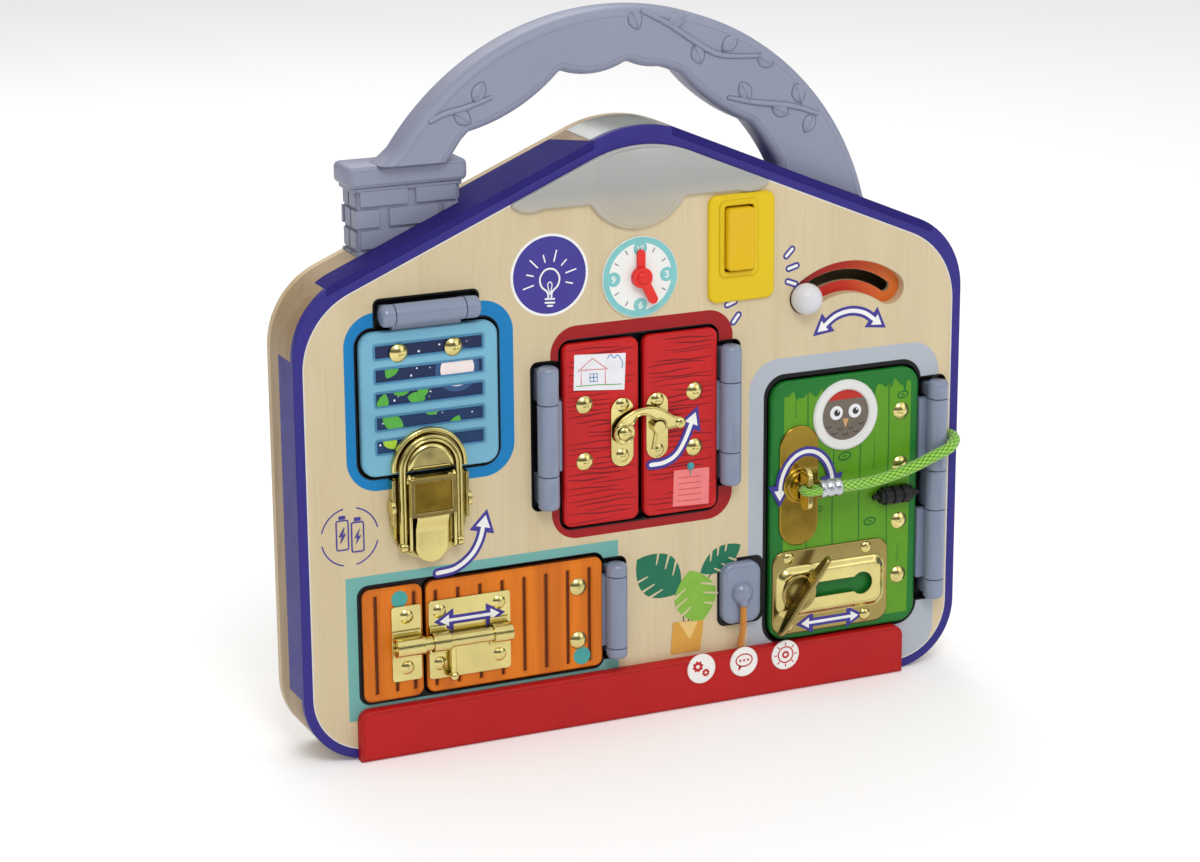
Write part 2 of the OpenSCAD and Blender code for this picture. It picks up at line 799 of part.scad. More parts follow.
// Channel-shaped lever with its thumb tongue
module latch_lever() {
    color(brass) face() difference() {
        union() {
            translate([latch_x - 10.4, -7.2, 103.9]) cube([20.8, 0.8, lever_z - 102.6]);
            for (s = [-1, 1]) side(latch_x + s * 9.8 - 0.6, latch_x + s * 9.8 + 0.6) {
                translate([-7.1, bail_z]) square([5.2, lever_z - bail_z]);
                translate([-lever_out, lever_z]) circle(r = 2.8);
                translate([-lever_out, bail_z]) circle(r = 2.6);
            }
            intersection() {
                plate(-9, 0) {
                    circle_at(latch_x, 90.4, 7);
                    translate([latch_x - 7, 90.4]) square([14, 16]);
                }
                side(latch_x - 8, latch_x + 8) polygon([[-7, 106], [-7, 103], [-5, 98], [-4.4, 80],
                    [-3.6, 80], [-4.2, 98.4], [-6.6, 103.4], [-6.6, 106]]);
            }
        }
        rod_x(latch_x - 12, latch_x + 12, -lever_out, lever_z, 0.9 + fit);
        for (s = [-1, 1])
            rod_x(latch_x + s * 10 - 1, latch_x + s * 10 + 1, -lever_out, bail_z, 1.2 + fit);
    }
}

// U-shaped bail with its two pivot stubs
module latch_bail() {
    color(brass) face() {
        plate(-5.6, -3.4) {
            difference() {
                circle_at(latch_x, bail_top_z, bail_r + bail_w / 2);
                circle_at(latch_x, bail_top_z, bail_r - bail_w / 2);
                translate([latch_x - 20, bail_top_z - 40]) square([40, 40]);
            }
            for (s = [-1, 1]) translate([latch_x + s * bail_r - bail_w / 2, bail_z])
                square([bail_w, bail_top_z - bail_z]);
        }
        for (s = [-1, 1]) {
            rod_x(latch_x + s * bail_r - bail_w / 2, latch_x + s * bail_r + bail_w / 2,
                  -lever_out, bail_z, 2.2);
            rod_x(latch_x + s * 10.4 - 1.2, latch_x + s * 10.4 + 1.2, -lever_out, bail_z, 1.2);
        }
    }
}

// ---- Red doors and the hook latch ----

module red_door_left() {
    color(red) face() door_board(red_left_box, door_r, red_left_rivet_at);
}

module red_leaf_left() {
    web = red_left_box[0] - red_left_x - 0.1;
    color(steel) face() leaf(red_left_x, red_moving, 1, web, 21, red_left_rivet_at);
}

module red_rivets_left() {
    color(brass) face() rivets(red_left_rivet_at);
}

module red_door_right() {
    color(red) face() door_board(red_right_box, door_r, red_right_rivet_at);
}

module red_leaf_right() {
    web = red_right_x - red_right_box[1] - 0.1;
    color(steel) face() leaf(red_right_x, red_moving, -1, web, 19.6, red_right_rivet_at);
}

module red_rivets_right() {
    color(brass) face() rivets(red_right_rivet_at);
}

// Plate, domed screws and pivot of the hook
module hook_plate() {
    y = door_front - sheet;
    color(brass) face() {
        plate(y, door_front) stadium(hook_x, 112.9, 142.6, 5.1);
        for (z = [117.6, 139.7]) dome(hook_x, z, y, 3.1, 1.2);
        rod_y(hook_x, hook_z, -4.1, y, 3.6);
        rod_y(hook_x, hook_z, -5.6, y, 1.4);
        dome(hook_x, hook_z, -5.5, 2.8, 1);
    }
}

// Hook that drops over the stud; a round tip under its end rests on the door
module hook_arm() {
    outline = [[-14.6, 130], [-12, 133.6], [-7.1, 136.6], [-2.1, 137.9], [2.9, 137.8],
               [7.8, 136], [12.9, 132.4], [15, 130.6], [15.2, 127.8], [10, 127.4], [3, 131.4],
               [0.8, 133.9], [-2.1, 134.7], [-5.1, 133.6], [-6.4, 130]];
    color(brass) face() difference() {
        union() {
            plate(-5.3, -4.3) polygon(outline);
            plate(-4.4, -3.4) circle_at(15.6, 129.3, 2.6);
            rod_y(hook_x, hook_z, -5.3, -4.3, 4.8);
        }
        rod_y(hook_x, hook_z, -6, -4, 1.4 + fit);
        rod_y(stud_x, stud_z, -6, -3, 3);
    }
}

module stud_plate() {
    y = door_front - sheet;
    color(brass) face() {
        plate(y, door_front) stadium(stud_x + 0.3, 114.4, 143, 5);
        for (z = [118, 140]) dome(stud_x + 0.3, z, y, 3.1, 1.2);
        rod_y(stud_x, stud_z, -5.9, y, 2.6);
        translate([stud_x - 1.6, -3.1, 118.9]) rotate([0, 10, 0]) cylinder(h = 8.4, r = 0.7);
    }
}

// ---- Orange door and the barrel bolt ----

module groove(x) {
    translate([x - 0.7, door_front - 1, 27.8]) cube([1.4, 1.6, 42]);
}

module orange_block() {
    color(orange) face() difference() {
        plate(door_front, 0) rr(-128.1, -101.8, 24.8, 73.9, 3);
        groove(-121.4);
        groove(-111.6);
    }
}

module orange_door() {
    color(orange) face() difference() {
        door_board(orange_box, door_r, orange_rivet_at);
        for (x = [-95.8 : 10 : -25]) groove(x);
    }
}

module orange_leaf() {
    web = orange_x - orange_box[1] - 0.1;
    color(steel) face() leaf(orange_x, orange_moving, -1, web, 22, orange_rivet_at);
}

module orange_rivets() {
    color(brass) face() rivets(orange_rivet_at);
}

// Straps of the bolt between x0 and x1, bored for its rod
module strap_tube(x0, x1) {
    rod_x(x0, x1, -bolt_out, bolt_z, 4.1);
    translate([x0, -3.6, bolt_z - 6]) cube([x1 - x0, 1, 12]);
}

module bolt_bore() {
    rod_x(-120, -60, -bolt_out, bolt_z, bolt_r + 0.1);
}

module bolt_keeper() {
    y = door_front - sheet;
    color(brass) face() {
        difference() {
            union() {
                plate(y, door_front) rr(-115.8, -102.8, 32.5, 65.3, 1.2);
                strap_tube(-115.6, -103.2);
            }
            bolt_bore();
        }
        for (z = [38.2, 60.6]) dome(-109.2, z, y, 3, 1.2);
    }
}

module bolt_plate() {
    y = door_front - sheet;
    color(brass) face() {
        difference() {
            union() {
                plate(y, door_front) rr(-99.4, -62.7, 31.2, 65.6, 1.5);
                strap_tube(-99.3, -91.8);
                strap_tube(-72.3, -64);
            }
            bolt_bore();
        }
        for (x = [-94.6, -67.8], z = [37.8, 60.8]) dome(x, z, y, 3, 1.2);
    }
}

// Sliding rod with its finger knob
module bolt_rod() {
    color(brass) face() {
        rod_x(bolt_x, bolt_x + bolt_l, -bolt_out, bolt_z, bolt_r);
        rod_z(-89.9, -bolt_out, 33, bolt_z, 1.2);
        translate([-89.9, -bolt_out, 32.6]) sphere(r = 2.1);
    }
}

// ---- Green door with its lock and slide plate ----

module green_door() {
    color(green) face() difference() {
        door_board(green_box, green_r, green_rivet_at);
        rod_y(lock_x, lock_z, -4, 4, 2.6);
    }
}

module green_leaf() {
    web = green_x - green_box[1] - 0.1;
    color(steel) face() leaf(green_x, green_moving, -1, web, 21, green_rivet_at);
}

module green_rivets() {
    color(brass) face() rivets(green_rivet_at);
}

module peephole_ring() {
    color("#e8e8e6") face() plate(door_front - 1, door_front) difference() {
        circle_at(96.4, 122.3, 15.8);
        circle_at(96.4, 122.3, 11.3);
    }
}

module lock_escutcheon() {
    y = door_front - 1;
    color(brass) face() difference() {
        union() {
            plate(y, door_front) stadium(lock_x, 66.1, 120.2, 9.4);
            rod_y(lock_x, lock_z, y - 1.2, y, lock_r);
            rod_y(lock_x, lock_z, y - 2, y, lock_r - 1.6);
        }
        rod_y(lock_x, lock_z, -7, 0, 2.4 + fit);
    }
}

// Key: shank with its collar behind the door, and a pierced bow seen from its edge
module key() {
    color(brass) face() {
        rod_y(lock_x, lock_z, -6.5, 3.3, 2.4);
        rod_y(lock_x, lock_z, 2.4, 3.3, 4.4);
        difference() {
            side(lock_x - 1, lock_x + 1) {
                for (s = [-1, 1]) translate([-9.5, lock_z + s * (bow_h / 2 - 4)]) circle(r = 4);
                translate([-13.5, lock_z + 4 - bow_h / 2]) square([8, bow_h - 8]);
            }
            rod_x(lock_x - 2, lock_x + 2, -10.1, lock_z, 2.4);
        }
    }
}

module key_clip() {
    color("#1c1c1e") face() intersection() {
        translate([105, -20, 70]) cube([40, 18, 30]);
        union() {
            rod_x(114.6, 127.2, -4.2, 83.4, 4.2);
            rod_x(112.8, 129, -4.2, 83.4, 3.2);
            rod_x(109.6, 132.2, -4.2, 83.4, 1.3);
        }
    }
}

// Embossed plate with the slot and the round hole at its end
module slide_plate() {
    color(brass) face() {
        difference() {
            union() {
                plate(door_front - 1, door_front) rr(61.2, 118.4, 25.6, 63.9, 6);
                plate(door_front - 2, door_front - 1) rr(62.6, 116.8, 32.8, 57.2, 6);
                plate(door_front - 3, door_front - 2) rr(63.8, 115.6, 34, 56, 6);
            }
            plate(-4, 0) rr(67.6, 112, 39, 51, 5);
            plate(-6, 0) {
                translate([thumb_x, thumb_z - 3.4]) square([slide_l, 6.8]);
                circle_at(thumb_x, thumb_z, 3.4);
                circle_at(thumb_x + slide_l, thumb_z, 5.1);
            }
        }
        for (x = [68.8, 107.2], z = [29.6, 60.4]) dome(x, z, door_front - 1, 3, 1.4);
    }
}

module slide_washer() {
    color(steel) face() difference() {
        rod_y(thumb_x, thumb_z, -3.8, -2.9, 4.8);
        rod_y(thumb_x, thumb_z, -5, -2, 3 + fit);
    }
}

// Thumb piece: disc, neck through the slot and an upright wing
module thumb_piece() {
    h = wing_l / 2;
    wing = [[-9, -6], [9, -6], [h, -9], [h, -11], [h - 2, -13], [2 - h, -13], [-h, -11], [-h, -9]];
    color(brass) face() {
        rod_y(thumb_x, thumb_z, -6.3, -5.2, 8.3);
        rod_y(thumb_x, thumb_z, -5.4, -2.1, 3);
        rod_y(thumb_x, thumb_z, -2.8, -2.1, 3.9);
        translate([thumb_x, 0, thumb_z]) rotate([0, -wing_a, 0]) translate([0, 0, -1.1])
            linear_extrude(height = 2.2) polygon(wing);
    }
}

// ---- Strike box and cords ----

module strike_box() {
    color(steel) face() difference() {
        union() {
            plate(-4, 0) rr(36.8, 55.2, 34.6, 62, 5);
            dome(45.7, 48.6, -4, 5, 4);
        }
        rod_z(45.7, -5.6, 40, 45, tether_r + 0.1);
    }
}

module tether_cord() {
    color("#d98a1c") face() tube(tether_path, tether_r, 8);
}

// Cord of the key with the loop through the key's bow
module key_cord() {
    color("#8bc34a") face() {
        tube(cord_path, cord_r, 10);
        translate([lock_x + 0.1, -12.8, lock_z]) rotate_extrude() translate([3, 0]) circle(r = 1.7);
    }
}

module cord_ferrule() {
    color("#c4c7cb") face() difference() {
        rod_x(78.2, 88.5, -12.4, lock_z, 4.1);
        rod_x(86.5, 90, -12.4, lock_z, cord_r + fit);
    }
}

frame_shell();
front_panel();
rim_band();
back_panel();
inner_board();
roof_boards();
chimney();
chimney_cap();
handle();
cloud_cover();
lamp_dome();
lamp_board();
battery_cover();
body_screws();
plinth_band();
switch_plate();
switch_rocker();
clock_dial();
hour_hand();
minute_hand();
slider_ball();
hinge_brackets();
hinge_pins();
window_shutter();
shutter_leaf();
shutter_rivets();
latch_strike();
latch_base();
latch_lever();
latch_bail();
red_door_left();
red_leaf_left();
red_rivets_left();
hook_plate();
hook_arm();
red_door_right();
red_leaf_right();
red_rivets_right();
stud_plate();
orange_block();
bolt_keeper();
orange_door();
orange_leaf();
orange_rivets();
bolt_plate();
bolt_rod();
green_door();
green_leaf();
green_rivets();
peephole_ring();
lock_escutcheon();
key();
key_clip();
slide_plate();
slide_washer();
thumb_piece();
strike_box();
tether_cord();
key_cord();
cord_ferrule();
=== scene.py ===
import bpy
import math
import numpy as np
from mathutils import Matrix, Vector
from mathutils.geometry import tessellate_polygon


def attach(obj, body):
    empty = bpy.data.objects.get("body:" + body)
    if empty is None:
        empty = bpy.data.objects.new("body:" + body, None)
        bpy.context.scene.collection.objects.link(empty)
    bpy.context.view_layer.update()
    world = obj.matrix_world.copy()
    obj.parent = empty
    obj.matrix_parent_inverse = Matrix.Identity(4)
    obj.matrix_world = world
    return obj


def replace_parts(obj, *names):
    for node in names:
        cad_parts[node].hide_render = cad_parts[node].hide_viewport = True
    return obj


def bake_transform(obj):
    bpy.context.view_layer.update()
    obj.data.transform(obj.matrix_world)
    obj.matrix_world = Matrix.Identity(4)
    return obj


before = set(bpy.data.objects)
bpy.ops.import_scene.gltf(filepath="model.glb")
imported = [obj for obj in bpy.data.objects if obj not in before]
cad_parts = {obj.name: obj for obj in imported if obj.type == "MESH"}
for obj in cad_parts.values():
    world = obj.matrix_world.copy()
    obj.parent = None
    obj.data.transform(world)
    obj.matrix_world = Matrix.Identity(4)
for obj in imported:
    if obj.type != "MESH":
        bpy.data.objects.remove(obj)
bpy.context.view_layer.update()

# Camera and studio
# The board stands on a white floor under three soft boxes and is seen from its upper
# left. Two dark cards on the floor show in its polished parts only.
yaw, pitch, roll = (math.radians(a) for a in (24.292, 15.954, -0.365))
camera_place = (-0.5427, -1.1750, 0.4922)
ahead = Vector((math.sin(yaw) * math.cos(pitch), math.cos(yaw) * math.cos(pitch),
                -math.sin(pitch)))
level_right = Vector((math.cos(yaw), -math.sin(yaw), 0))
level_up = level_right.cross(ahead)
right = level_right * math.cos(roll) + level_up * math.sin(roll)
up = level_up * math.cos(roll) - level_right * math.sin(roll)
camera_data = bpy.data.cameras.new("camera")
camera_data.sensor_width = 36
camera_data.lens = 94.5
camera = bpy.data.objects.new("camera", camera_data)
camera.matrix_world = Matrix([(right[k], up[k], -ahead[k], camera_place[k]) for k in range(3)]
                             + [(0, 0, 0, 1)])
bpy.context.scene.collection.objects.link(camera)
bpy.context.scene.camera = camera


def put(tree, kind, inputs=None, **settings):
    """New shader node with its settings; an input takes another node's socket or a constant."""
    n = tree.nodes.new("ShaderNode" + kind)
    for key, value in settings.items():
        setattr(n, key, value)
    for key, value in (inputs or {}).items():
        if isinstance(value, bpy.types.NodeSocket):
            tree.links.new(value, n.inputs[key])
        else:
            n.inputs[key].default_value = value
    return n


def ramp(tree, fac, stops):
    """Colour ramp through (place, colour) stops."""
    n = put(tree, "ValToRGB", {"Fac": fac})
    elements = n.color_ramp.elements
    elements[0].position, elements[0].color = stops[0]
    elements[1].position, elements[1].color = stops[-1]
    for place, colour in stops[1:-1]:
        elements.new(place).color = colour
    return n.outputs["Color"]


world = bpy.data.worlds.new("studio")
world.use_nodes = True
studio = world.node_tree
sky_split = put(studio, "SeparateXYZ", {"Vector": put(studio, "TexCoord").outputs["Generated"]})
sky = ramp(studio, sky_split.outputs["Z"], [(0.3, (0.16, 0.16, 0.17, 1)), (0.62, (1, 1, 1, 1))])
backdrop = studio.nodes["Background"]
studio.links.new(sky, backdrop.inputs["Color"])
backdrop.inputs["Strength"].default_value = 0.9
bpy.context.scene.world = world
bpy.context.scene.view_settings.view_transform = "Standard"


def area_light(name, place, target, size, power):
    """Square soft box at a place in metres, turned towards a target."""
    data = bpy.data.lights.new(name, "AREA")
    data.size = size
    data.energy = power
    light = bpy.data.objects.new(name, data)
    light.location = place
    light.rotation_euler = (Vector(target) - Vector(place)).to_track_quat("-Z", "Y").to_euler()
    bpy.context.scene.collection.objects.link(light)


area_light("key_light", (-0.3, -1.3, 1.6), (0, 0, 0.12), 0.7, 13)
area_light("fill_light", (1.3, -1.4, 0.8), (0, 0, 0.12), 1.2, 4.5)
area_light("rim_light", (0.2, 1.3, 1.3), (0, 0, 0.15), 1.0, 7)


def nodes_for(name, colour, rough, metal=0.0, coat=0.0):
    """Material with its constant numbers on the shader; returns the material, tree and shader."""
    mat = bpy.data.materials.new(name)
    mat.use_nodes = True
    shader = mat.node_tree.nodes["Principled BSDF"]
    for key, value in (("Base Color", colour), ("Roughness", rough), ("Metallic", metal),
                       ("Coat Weight", coat), ("Coat Roughness", 0.18), ("Specular IOR Level", 0.3)):
        shader.inputs[key].default_value = value
    return mat, mat.node_tree, shader


def cards(name, z, material, *areas):
    """Level cards at height z in metres, each over (x0, y0, x1, y1)."""
    corners = [(x, y, z) for x0, y0, x1, y1 in areas
               for x, y in ((x0, y0), (x1, y0), (x1, y1), (x0, y1))]
    mesh = bpy.data.meshes.new(name)
    mesh.from_pydata(corners, [], [tuple(range(k, k + 4)) for k in range(0, len(corners), 4)])
    mesh.materials.append(material)
    obj = bpy.data.objects.new(name, mesh)
    bpy.context.scene.collection.objects.link(obj)
    return obj


floor_white, _, floor_shader = nodes_for("floor_white", (0.92, 0.92, 0.92, 1), 0.7)
floor_shader.inputs["Emission Color"].default_value = (1, 1, 1, 1)
floor_shader.inputs["Emission Strength"].default_value = 0.1
floor = cards("floor", -0.0002, floor_white, (-6, -6, 6, 6))
flag_grey = nodes_for("flag_grey", (0.16, 0.15, 0.13, 1), 0.9)[0]
flag = cards("flag", 0.001, flag_grey, (-0.06, -0.5, 0.115, -0.275), (0.15, -0.36, 0.33, -0.2))
flag.visible_camera = flag.visible_diffuse = flag.visible_shadow = False

# Cords
# A short woven tether runs from the strike box down into a hole in the plinth. The key is
# kept on a braided cord that is crimped in a steel sleeve and ends in a hole in the rim.
FACE_Y = -16.0
TETHER_X = 45.7
KEY_Z = 93.6
CORD_Y = -12.4


def metres(points):
    """Points (x, y, z) in mm of the face frame as metres in the row frame. In the face frame
    x runs to the right, y into the board from its front face, and z up from the floor."""
    return (np.asarray(points, float).reshape(-1, 3) + (0, FACE_Y, 0)) / 1000


def srgb(r, g, b):
    """Linear colour of an 8-bit display colour: c / 12.92 up to c = 0.04045, and above it
    ((c + 0.055) / 1.055)^2.4."""
    c = np.array([r, g, b]) / 255
    lin = np.where(c <= 0.04045, c / 12.92, ((c + 0.055) / 1.055) ** 2.4)
    return (float(lin[0]), float(lin[1]), float(lin[2]), 1.0)


def shade(colour, k):
    """The colour with its light scaled by k."""
    return (*(min(1.0, c * k) for c in colour[:3]), 1.0)


def maths(tree, operation, *values):
    """Result of a Math node on sockets or numbers."""
    return put(tree, "Math", dict(enumerate(values)), operation=operation).outputs[0]


def blend_colours(tree, factor, a, b, kind="MIX"):
    """Mix of two colours, each a socket or a constant, by a socket or number."""
    return put(tree, "Mix", {0: factor, 6: a, 7: b}, data_type="RGBA", blend_type=kind).outputs[2]


def spots(tree, scale, stretch=(1, 1, 1), detail=3.0, distortion=0.0):
    """Noise over Object coordinates in metres, with its axes stretched; returns its Fac socket."""
    at = put(tree, "TexCoord")
    stretched = put(tree, "Mapping", {"Vector": at.outputs["Object"], "Scale": stretch})
    return put(tree, "TexNoise", {"Vector": stretched.outputs["Vector"], "Scale": scale,
                                  "Detail": detail, "Distortion": distortion}).outputs["Fac"]


def sheen_between(tree, shader, fac, low, high):
    """Roughness that a noise moves between two values."""
    sheen = put(tree, "MapRange", {"Value": fac, "To Min": low, "To Max": high})
    tree.links.new(sheen.outputs["Result"], shader.inputs["Roughness"])


def relief(tree, shader, height, strength, distance, **below):
    """Fine relief from a height socket, over the normal of an edge where there is one."""
    bump = put(tree, "Bump", {"Height": height, "Strength": strength, "Distance": distance, **below})
    tree.links.new(bump.outputs["Normal"], shader.inputs["Normal"])


def rounded(tree, shader, radius, height, strength, distance=0.0002):
    """Softened edges of a radius in mm, with fine relief on top."""
    edge = put(tree, "Bevel", {"Radius": radius / 1000}, samples=6)
    relief(tree, shader, height, strength, distance, Normal=edge.outputs["Normal"])


def polished(name, colour, rough, edge, along=(1, 1, 0.06)):
    """Plated metal: brushed lines, soft smudges, painted shade in its creases and an uneven sheen."""
    mat, tree, shader = nodes_for(name, colour, rough, metal=1.0)
    smudge = spots(tree, 70, detail=5)
    tone = ramp(tree, smudge, [(0.3, shade(colour, 0.88)), (0.65, shade(colour, 1.05))])
    # Painted shade: the colour is darkened in creases and under parts by ambient occlusion.
    crease = put(tree, "AmbientOcclusion", {"Distance": 0.003}, samples=6)
    crease_shade = ramp(tree, crease.outputs["AO"], [(0.2, (0.34, 0.28, 0.18, 1)), (0.75, (1, 1, 1, 1))])
    tree.links.new(blend_colours(tree, 1.0, tone, crease_shade, "MULTIPLY"), shader.inputs["Base Color"])
    sheen_between(tree, shader, spots(tree, 160, detail=4), rough - 0.06, rough + 0.14)
    rounded(tree, shader, edge, spots(tree, 420, along, detail=3), 0.12, 0.0001)
    return mat


def smooth(points, n=8, closed=False):
    """Catmull-Rom curve through points, n steps a span: q(t) = half of
    2 p1 + (p2 - p0) t + (2 p0 - 5 p1 + 4 p2 - p3) t^2 + (3 p1 - p0 - 3 p2 + p3) t^3."""
    p = np.array(points, float)
    ends = (p[-1:], p[:2]) if closed else (2 * p[:1] - p[1:2], 2 * p[-1:] - p[-2:-1])
    q = np.concatenate([ends[0], p, ends[1]])
    rows = []
    for i in range(1, len(q) - 2):
        p0, p1, p2, p3 = q[i - 1:i + 3]
        for t in np.linspace(0, 1, n, endpoint=False):
            rows.append(0.5 * (2 * p1 + (p2 - p0) * t + (2 * p0 - 5 * p1 + 4 * p2 - p3) * t ** 2
                               + (3 * p1 - p0 - 3 * p2 + p3) * t ** 3))
    if not closed:
        rows.append(p[-1])
    return np.array(rows)


def piece(name, parts, body, angle=32):
    """Object on a body from (verts, faces, material) parts in mm of the face frame."""
    verts, faces, index, materials, first = [], [], [], [], 0
    for v, f, mat in parts:
        if mat not in materials:
            materials.append(mat)
        verts.append(v)
        faces += [tuple(i + first for i in face) for face in f]
        index += [materials.index(mat)] * len(f)
        first += len(v)
    mesh = bpy.data.meshes.new(name)
    mesh.from_pydata(metres(np.concatenate(verts)).tolist(), [], faces)
    for mat in materials:
        mesh.materials.append(mat)
    mesh.polygons.foreach_set("material_index", index)
    mesh.polygons.foreach_set("use_smooth", [True] * len(faces))
    mesh.set_sharp_from_angle(angle=math.radians(angle))
    mesh.update()
    obj = bpy.data.objects.new(name, mesh)
    bpy.context.scene.collection.objects.link(obj)
    if body:
        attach(obj, body)
    return obj


def surface(rows, closed=False):
    """Grid of points rows x columns as quads; closed joins the last column to the first."""
    g = np.array(rows, float)
    n, m = g.shape[:2]
    faces = [(i * m + j, i * m + (j + 1) % m, (i + 1) * m + (j + 1) % m, (i + 1) * m + j)
             for i in range(n - 1) for j in range(m if closed else m - 1)]
    return g.reshape(-1, 3), faces


def tube(path, radius, n):
    """Round bar along points (x, y, z), its rings carried along the path without twist, and
    closed at both ends. Returns verts, faces, and the distance and angle of each vertex."""
    p = np.array(path, float)
    d = np.gradient(p, axis=0)
    d /= np.linalg.norm(d, axis=1)[:, None]
    up = np.array([0, 0, 1.0]) if abs(d[0][2]) < 0.9 else np.array([0, 1.0, 0])
    along = np.concatenate([[0], np.cumsum(np.linalg.norm(np.diff(p, axis=0), axis=1))])
    a = np.linspace(0, 2 * np.pi, n, endpoint=False)
    rows = []
    for place, ahead, r in zip(p, d, np.broadcast_to(radius, len(p))):
        up = up - ahead * (up @ ahead)
        up /= np.linalg.norm(up)
        side = np.cross(ahead, up)
        rows.append(place + r * (np.cos(a)[:, None] * side + np.sin(a)[:, None] * up))
    verts, faces = surface(rows, closed=True)
    faces += [tuple(range(n))[::-1], tuple(range(len(verts) - n, len(verts)))]
    return verts, faces, np.stack([np.repeat(along, n), np.tile(a, len(p))], 1)


def braided(name, colour, dark, thick, pitch):
    """Braid over UV (mm along, radians round) of four strands each way, with the height
    |sin(4 a + k s)| |sin(4 a - k s)|."""
    mat, tree, shader = nodes_for(name, colour, 0.72)
    uv = put(tree, "UVMap", uv_map="braid")
    split = put(tree, "SeparateXYZ", {"Vector": uv.outputs["UV"]})
    strands = []
    for way in (1, -1):
        across = maths(tree, "MULTIPLY", split.outputs["Y"], 4)
        run = maths(tree, "MULTIPLY", split.outputs["X"], way * math.pi / pitch)
        wave = maths(tree, "SINE", maths(tree, "ADD", across, run))
        strands.append(maths(tree, "ABSOLUTE", wave))
    height = maths(tree, "MULTIPLY", *strands)
    # Painted shade in the hollows between the strands and a painted highlight on their crowns.
    tone = ramp(tree, height, [(0.02, dark), (0.35, colour), (0.9, shade(colour, 1.12))])
    tree.links.new(tone, shader.inputs["Base Color"])
    fibres = maths(tree, "MULTIPLY", height, spots(tree, 2600, detail=2))
    relief(tree, shader, fibres, 0.9, thick / 1000)
    shader.inputs["Sheen Weight"].default_value = 0.35
    return mat


def braid_piece(name, route, radius, colour, body):
    """Braided tube along a route, with UV = (mm along, radians round)."""
    verts, faces, braid = tube(route, radius, 24)
    obj = piece(name, [(verts, faces, colour)], body, angle=60)
    layer = obj.data.uv_layers.new(name="braid")
    loops = np.empty(len(obj.data.loops), np.int32)
    obj.data.loops.foreach_get("vertex_index", loops)
    uv = braid[loops]
    starts = np.empty(len(obj.data.polygons), np.int32)
    obj.data.polygons.foreach_get("loop_start", starts)
    for s in starts:
        angles = uv[s:s + 4, 1]
        if angles.max() - angles.min() > np.pi:
            uv[s:s + 4, 1] = np.where(angles < np.pi, angles + 2 * np.pi, angles)
    layer.data.foreach_set("uv", uv.ravel())
    return obj


def cord_piece(name, node, points, radius, colour, body, steps):
    """Cord of a given radius along a smooth route in mm."""
    route = smooth(points, steps)
    obj = braid_piece(name, route, radius, colour, body)
    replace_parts(obj, node)
    return obj


tether_braid = braided("tether_braid", srgb(230, 150, 44), srgb(122, 62, 8), 0.5, 2.2)
tether_route = [(TETHER_X, y, z) for y, z in [
    (-5.6, 45), (-5.6, 41), (-5.6, 37), (-5.3, 33), (-4.4, 29.5), (-3.3, 26.5), (-2.7, 23.5),
    (-2.6, 21), (-2.6, 17), (-2.6, 13)]]
cord_piece("tether", "tether_cord", tether_route, 1.4, tether_braid, "board",
           8)

key_braid = braided("key_braid", srgb(150, 208, 74), srgb(62, 112, 22), 0.6, 3.4)
loop_route = [(x, y, KEY_Z) for x, y in [
    (79.4, -11.2), (77.2, -9.9), (74.6, -9.5), (71.9, -10.5), (70.9, -12.8), (71.9, -15),
    (74.6, -15.8), (77.2, -15.2), (79.4, -13.6)]]
key_loop = braid_piece("key_loop", smooth(loop_route, 6), 1.7, key_braid, "green")
crimped = polished("crimped_steel", srgb(200, 204, 210), 0.2, 0.2, (0.06, 1, 1))
sleeve_profile = [(78.2, 3.3), (78.35, 3.8), (78.8, 4.05), (80.6, 4.05), (81.2, 3.6), (82.0, 3.6),
                  (82.6, 4.05), (84.4, 4.05), (85.0, 3.6), (85.8, 3.6), (86.4, 4.05), (88.0, 4.05),
                  (88.4, 3.8), (88.5, 3.3)]
sleeve = tube([(x, CORD_Y, KEY_Z) for x, _ in sleeve_profile], [r for _, r in sleeve_profile], 40)
crimp = piece("crimp_sleeve", [(*sleeve[:2], crimped)], "green", 50)
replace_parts(crimp, "cord_ferrule")
lead_route = [(86.5, CORD_Y, KEY_Z), (93, -12.2, 93.3), (100, -11.6, 93.1), (107, -11.1, 93.4),
              (114, -10.9, 94.4), (121, -11.1, 96), (128, -11.5, 98.2), (134, -11.8, 100.5),
              (139, -11.8, 102.2), (143.5, -11.2, 103.6), (146.6, -9.3, 104.7), (149, -6.6, 105.6),
              (150.2, -3.1, 106.1), (150.4, -0.5, 106.2), (150.4, 2, 106.2)]
key_lead = cord_piece("key_lead", "key_cord", lead_route, 2.5, key_braid, None,
                      6)
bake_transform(key_lead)

# Housing
# The box behind the face is planed timber. Its flat back is screwed on with eight
# countersunk screws and has a flush cover over the batteries.


def mottled(tree, shader, colour, fac, low, high):
    """Base colour between two shades of a colour; low and high are (place, brightness)."""
    tone = ramp(tree, fac, [(low[0], shade(colour, low[1])), (high[0], shade(colour, high[1]))])
    tree.links.new(tone, shader.inputs["Base Color"])


def plastic(name, colour, rough, edge=0.5):
    """Moulded plastic: even colour with a fine spark-eroded grain."""
    mat, tree, shader = nodes_for(name, colour, rough)
    mottled(tree, shader, colour, spots(tree, 12, detail=2), (0.3, 0.96), (0.7, 1.03))
    rounded(tree, shader, edge, spots(tree, 2600, detail=1), 0.05)
    return mat


